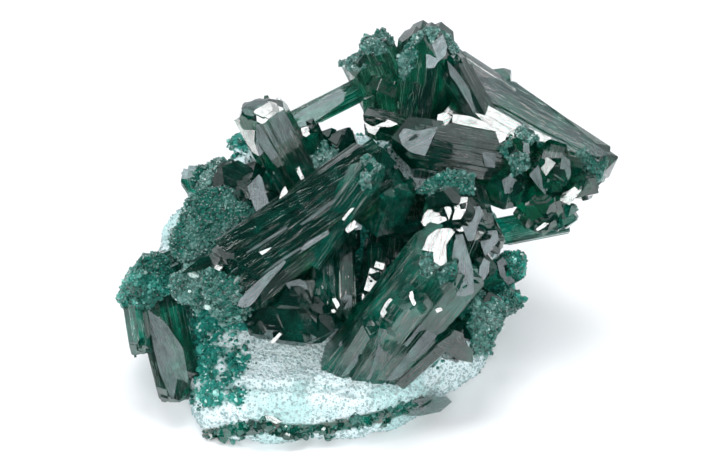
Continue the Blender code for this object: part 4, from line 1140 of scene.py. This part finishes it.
def scatter_tree(name, shape, material):
    """A geometry tree that scatters small crystals where the ground's cover attribute asks for them."""
    tree = bpy.data.node_groups.new(name, "GeometryNodeTree")
    tree.interface.new_socket("Geometry", in_out="INPUT", socket_type="NodeSocketGeometry")
    sockets = {}
    for label, kind, default in (("Density", "NodeSocketFloat", 5e6), ("Size", "NodeSocketFloat", 0.0009),
                                 ("Tilt", "NodeSocketFloat", 0.7), ("Seed", "NodeSocketInt", 7)):
        socket = tree.interface.new_socket(label, in_out="INPUT", socket_type=kind)
        socket.default_value = default
        sockets[label] = socket.identifier
    tree.interface.new_socket("Geometry", in_out="OUTPUT", socket_type="NodeSocketGeometry")
    source, sink = tree.nodes.new("NodeGroupInput"), tree.nodes.new("NodeGroupOutput")
    build = Tree(tree)
    cover = build.add("GeometryNodeInputNamedAttribute", data_type="FLOAT")
    cover.inputs["Name"].default_value = "cover"
    scatter = build.add("GeometryNodeDistributePointsOnFaces", distribute_method="RANDOM")
    build.feed(scatter, Mesh=source.outputs["Geometry"], Seed=source.outputs["Seed"],
               Density=build.math("MULTIPLY", cover.outputs["Attribute"], source.outputs["Density"]))
    low = build.add("ShaderNodeCombineXYZ")
    high = build.add("ShaderNodeCombineXYZ")
    back = build.math("MULTIPLY", source.outputs["Tilt"], -1.0)
    build.feed(low, X=back, Y=back, Z=-3.1)
    build.feed(high, X=source.outputs["Tilt"], Y=source.outputs["Tilt"], Z=3.1)
    wobble = build.add("FunctionNodeRandomValue", data_type="FLOAT_VECTOR")
    tree.links.new(low.outputs[0], wobble.inputs[0])
    tree.links.new(high.outputs[0], wobble.inputs[1])
    tree.links.new(source.outputs["Seed"], wobble.inputs["Seed"])
    turned = build.add("FunctionNodeRotateRotation", rotation_space="LOCAL")
    tree.links.new(scatter.outputs["Rotation"], turned.inputs[0])
    tree.links.new(wobble.outputs[0], turned.inputs[1])
    grow = build.add("FunctionNodeRandomValue", data_type="FLOAT")
    tree.links.new(source.outputs["Seed"], grow.inputs["Seed"])
    grow.inputs[2].default_value, grow.inputs[3].default_value = 0.0, 1.0
    spread = build.math("ADD", 0.45, build.math("POWER", grow.outputs[1], 3.0))
    shape_info = build.add("GeometryNodeObjectInfo")
    shape_info.inputs["Object"].default_value = shape
    place = build.add("GeometryNodeInstanceOnPoints")
    build.feed(place, Points=scatter.outputs["Points"], Instance=shape_info.outputs["Geometry"],
               Rotation=turned.outputs[0],
               Scale=build.math("MULTIPLY", spread, source.outputs["Size"]))
    lot = build.add("FunctionNodeRandomValue", data_type="FLOAT")
    lot.inputs["Seed"].default_value = 3
    kept = build.add("GeometryNodeStoreNamedAttribute", data_type="FLOAT", domain="INSTANCE")
    kept.inputs["Name"].default_value = "lot"
    tree.links.new(place.outputs[0], kept.inputs["Geometry"])
    tree.links.new(lot.outputs[1], kept.inputs["Value"])
    real = build.add("GeometryNodeRealizeInstances")
    tree.links.new(kept.outputs[0], real.inputs[0])
    finish = build.add("GeometryNodeSetMaterial")
    finish.inputs["Material"].default_value = material
    tree.links.new(real.outputs[0], finish.inputs[0])
    tree.links.new(finish.outputs[0], sink.inputs[0])
    return tree, sockets


def scattered(name, ground_data, shape, material, density, size, tilt, seed):
    """A piece of small crystals scattered over a ground mesh where its cover attribute asks for them."""
    ground = new_piece(name + "_ground", ground_data)
    tree, sockets = scatter_tree(name + "_scatter", shape, material)
    scatter = ground.modifiers.new("scatter", "NODES")
    scatter.node_group = tree
    for label, value in (("Density", density * 1e6), ("Size", size), ("Tilt", tilt), ("Seed", seed)):
        scatter[sockets[label]] = value
    data = evaluated_mesh(ground, name)
    bpy.data.objects.remove(ground)
    if not data.vertices:
        raise RuntimeError(name + " has no crystals")
    for vert in data.vertices:
        vert.co.z = max(0.0, vert.co.z)
    for layer in list(data.attributes):
        if layer.name in ("habit", "cover", "patches"):
            data.attributes.remove(layer)
    made = new_piece(name, data)
    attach(made, "root")
    return made


def groups_of():
    """The shader groups that the materials share, made once."""
    if "striae" not in bpy.data.node_groups:
        striae_group()
        crust_group()
    return {name: bpy.data.node_groups[name] for name in ("striae", "crust")}


class SPECIMEN_OT_matrix(bpy.types.Operator):
    """Build the rough matrix from the frame's solid"""

    bl_idname = "specimen.matrix"
    bl_label = "Build matrix"

    def execute(self, context):
        settings = context.scene.specimen
        rough = new_piece("rough_matrix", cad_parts["matrix"].data.copy())
        mesh = bmesh.new()
        mesh.from_mesh(rough.data)
        bmesh.ops.remove_doubles(mesh, verts=mesh.verts, dist=1e-6)
        mesh.to_mesh(rough.data)
        mesh.free()
        smooth = rough.modifiers.new("smooth", "SUBSURF")
        smooth.levels = smooth.render_levels = 3
        data = evaluated_mesh(rough, "matrix_rock")
        bpy.data.objects.remove(rough)
        roughened(data)
        paint_patches(data)
        data.materials.clear()
        data.materials.append(stone_material(settings, groups_of()))
        made = new_piece("matrix_rock", data)
        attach(made, "root")
        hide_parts("matrix")
        return {"FINISHED"}


class SPECIMEN_OT_spray(bpy.types.Operator):
    """Build one spray of striated crystals"""

    bl_idname = "specimen.spray"
    bl_label = "Build spray"

    spray: EnumProperty(name="Spray", description="Which group of crystals to build",
                        items=[(name, name.replace("_", " "), "") for name in SPRAYS])

    def execute(self, context):
        settings = context.scene.specimen
        data = spray_mesh(self.spray, settings)
        made = new_piece(self.spray + "_facets", data)
        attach(made, "root")
        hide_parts(self.spray)
        return {"FINISHED"}


class SPECIMEN_OT_druse(bpy.types.Operator):
    """Scatter small crystals over the green parts of the matrix, and set the seam's own faces"""

    bl_idname = "specimen.druse"
    bl_label = "Build druse"

    def execute(self, context):
        settings = context.scene.specimen
        rock = bpy.data.objects["matrix_rock"].data
        crust = crystal_materials(settings)[CRUST]
        shape = druse_crystal()
        made = scattered("druse", rock.copy(), shape, crust, settings.druse_density,
                         settings.druse_size, 0.7, settings.seed)
        seam = rock.copy()
        values = np.empty(len(rock.vertices) * 4, np.float32)
        rock.attributes["patches"].data.foreach_get("color", values)
        wanted = np.clip(2.0 * values.reshape(-1, 4)[:, 2] - 0.5, 0.0, 1.0)
        seam.attributes["cover"].data.foreach_set("value", np.ascontiguousarray(wanted))
        made = scattered("seam_crystals", seam, shape, crystal_materials(settings)[CLEAR],
                         SEAM_CRYSTAL_DENSITY, SEAM_CRYSTAL_SIZE, 0.9, settings.seed + 5)
        bpy.data.objects.remove(shape)
        ground = bmesh.new()
        ground.from_mesh(rock)
        bmesh.ops.scale(ground, vec=(1000, 1000, 1000), verts=ground.verts)
        surface = BVHTree.FromBMesh(ground)
        ground.free()
        dice = random.Random("seam")
        plates = [growth_face(*entry, surface, dice.random()) for entry in GROWTH_FACES["matrix"]]
        data = fused([plate for plate in plates if plate], "seam_faces", crystal_materials(settings))
        data.transform(Matrix.Scale(0.001, 4))
        for vert in data.vertices:
            vert.co.z = max(0.0, vert.co.z)
        made = new_piece("seam_faces", data)
        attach(made, "root")
        return {"FINISHED"}


class SPECIMEN_OT_stone_grains(bpy.types.Operator):
    """Scatter pale grains over the bare matrix"""

    bl_idname = "specimen.stone_grains"
    bl_label = "Build stone grains"

    def execute(self, context):
        settings = context.scene.specimen
        ground = bpy.data.objects["matrix_rock"].data.copy()
        count = len(ground.vertices)
        cover = np.empty(count, np.float32)
        ground.attributes["cover"].data.foreach_get("value", cover)
        ground.attributes["cover"].data.foreach_set("value", np.clip(1.0 - 1.5 * cover, 0.0, 1.0))
        shape = grain_crystal()
        made = scattered("stone_grains", ground, shape, bpy.data.materials["matrix_stone"],
                         settings.stone_grain_density, STONE_GRAIN_SIZE, 0.9, settings.seed + 1)
        bpy.data.objects.remove(shape)
        return {"FINISHED"}


class SPECIMEN_OT_crust_grains(bpy.types.Operator):
    """Scatter grains over the crusted ends and faces of the crystals"""

    bl_idname = "specimen.crust_grains"
    bl_label = "Build crust grains"

    def execute(self, context):
        settings = context.scene.specimen
        whole = bmesh.new()
        for name in SPRAYS:
            whole.from_mesh(bpy.data.objects[name + "_facets"].data)
        ground = mesh_data(whole, "crusted")
        crust = crystal_materials(settings)[CRUST]
        scatters = (
            ("crust_grains", grain_crystal(), settings.crust_grain_density, CRUST_GRAIN_SIZE),
            ("crust_crystals", druse_crystal(), CRUST_CRYSTAL_DENSITY, CRUST_CRYSTAL_SIZE))
        for name, shape, density, size in scatters:
            made = scattered(name, ground.copy(), shape, crust, density, size, 0.8, settings.seed + 2)
            bpy.data.objects.remove(shape)
        return {"FINISHED"}


def softbox(target, name, direction, distance, width, height, radiance, colour):
    """A rectangular light that faces the target."""
    data = bpy.data.lights.new(name, "AREA")
    data.color = colour
    data.shape = "RECTANGLE"
    data.size, data.size_y = width, height
    data.energy = radiance * width * height * 4.0
    lamp = bpy.data.objects.new(name, data)
    away = Vector(direction).normalized()
    lamp.location = target + away * distance
    lamp.rotation_euler = away.to_track_quat("Z", "Y").to_euler()
    bpy.context.scene.collection.objects.link(lamp)
    return lamp


def light_tent():
    """White surroundings that are open and dark at the front, as a light tent is."""
    world = bpy.data.worlds.new("light_tent")
    world.use_nodes = True
    tree = Tree(world.node_tree)
    place = tree.add("ShaderNodeTexCoord").outputs["Generated"]
    ahead = tree.add("ShaderNodeVectorMath", operation="DOT_PRODUCT")
    tree.feed(ahead, _0=place, _1=(0.0, -math.cos(FACE_LEAN), math.sin(FACE_LEAN)))
    shade = tree.ramp(ahead.outputs["Value"], (0.02, (0.94, 0.96, 1.0)), (0.60, (0.03, 0.032, 0.035)))
    tree.feed(world.node_tree.nodes["Background"], Color=shade, Strength=1.0)
    return world


def sheet(name, half_size, shift, finish, colour):
    """A flat square of matt paper that belongs to the stage."""
    mesh = bmesh.new()
    bmesh.ops.create_grid(mesh, x_segments=1, y_segments=1, size=half_size)
    bmesh.ops.translate(mesh, verts=mesh.verts, vec=shift)
    made = new_piece(name, mesh_data(mesh, name))
    paper, tree, shader, _ = new_material(finish)
    tree.feed(shader, Base_Color=(*colour, 1), Roughness=0.9)
    made.data.materials.append(paper)
    return made


class SPECIMEN_OT_stage(bpy.types.Operator):
    """Build the floor, the lights and the camera"""

    bl_idname = "specimen.stage"
    bl_label = "Build stage"

    def execute(self, context):
        scene = context.scene
        sheet("floor", 3.0, (0, 0, 0), "paper", (0.90, 0.91, 0.92))
        flag = sheet("dark_flag", 0.5, (0, -0.56, 0.001), "flag_black", (0.02, 0.02, 0.02))
        flag.visible_camera = flag.visible_diffuse = flag.visible_shadow = False
        target = Vector((0, 0, FACE_HEIGHT / 1000)) - CENTRE / 1000
        for entry in SOFTBOXES:
            softbox(target, *entry)
        fill = softbox(target, *FILL)
        fill.visible_glossy = False
        fill.visible_transmission = False
        scene.world = light_tent()
        data = bpy.data.cameras.new("camera")
        data.lens = LENS
        data.clip_start = 0.01
        data.shift_x, data.shift_y = LENS_SHIFT
        camera = bpy.data.objects.new("camera", data)
        away = Vector((0, -math.cos(FACE_LEAN), math.sin(FACE_LEAN)))
        camera.location = target + away * (VIEW_DISTANCE / 1000)
        camera.rotation_euler = away.to_track_quat("Z", "Y").to_euler()
        scene.collection.objects.link(camera)
        scene.camera = camera
        scene.view_settings.view_transform = "Standard"
        return {"FINISHED"}


class SPECIMEN_PT_panel(bpy.types.Panel):
    """Lists the specimen's operators"""

    bl_idname = "SPECIMEN_PT_panel"
    bl_label = "Dioptase specimen"
    bl_space_type = "VIEW_3D"
    bl_region_type = "UI"
    bl_category = "Specimen"

    def draw(self, context):
        column = self.layout.column()
        settings = context.scene.specimen
        for name in SpecimenSettings.__annotations__:
            column.prop(settings, name)
        column.operator("specimen.matrix")
        for name in SPRAYS:
            column.operator("specimen.spray", text="Build " + name.replace("_", " ")).spray = name
        column.operator("specimen.druse")
        column.operator("specimen.stone_grains")
        column.operator("specimen.crust_grains")
        column.operator("specimen.stage")


CLASSES = (SpecimenSettings, SPECIMEN_OT_matrix, SPECIMEN_OT_spray, SPECIMEN_OT_druse,
           SPECIMEN_OT_stone_grains, SPECIMEN_OT_crust_grains, SPECIMEN_OT_stage, SPECIMEN_PT_panel)


def register():
    for entry in CLASSES:
        bpy.utils.register_class(entry)
    bpy.types.Scene.specimen = PointerProperty(type=SpecimenSettings)


def unregister():
    del bpy.types.Scene.specimen
    for entry in reversed(CLASSES):
        bpy.utils.unregister_class(entry)


def main():
    register()
    bpy.ops.specimen.matrix()
    for name in SPRAYS:
        bpy.ops.specimen.spray(spray=name)
    bpy.ops.specimen.druse()
    bpy.ops.specimen.stone_grains()
    bpy.ops.specimen.crust_grains()
    bpy.ops.specimen.stage()


if __name__ == "__main__":
    main()
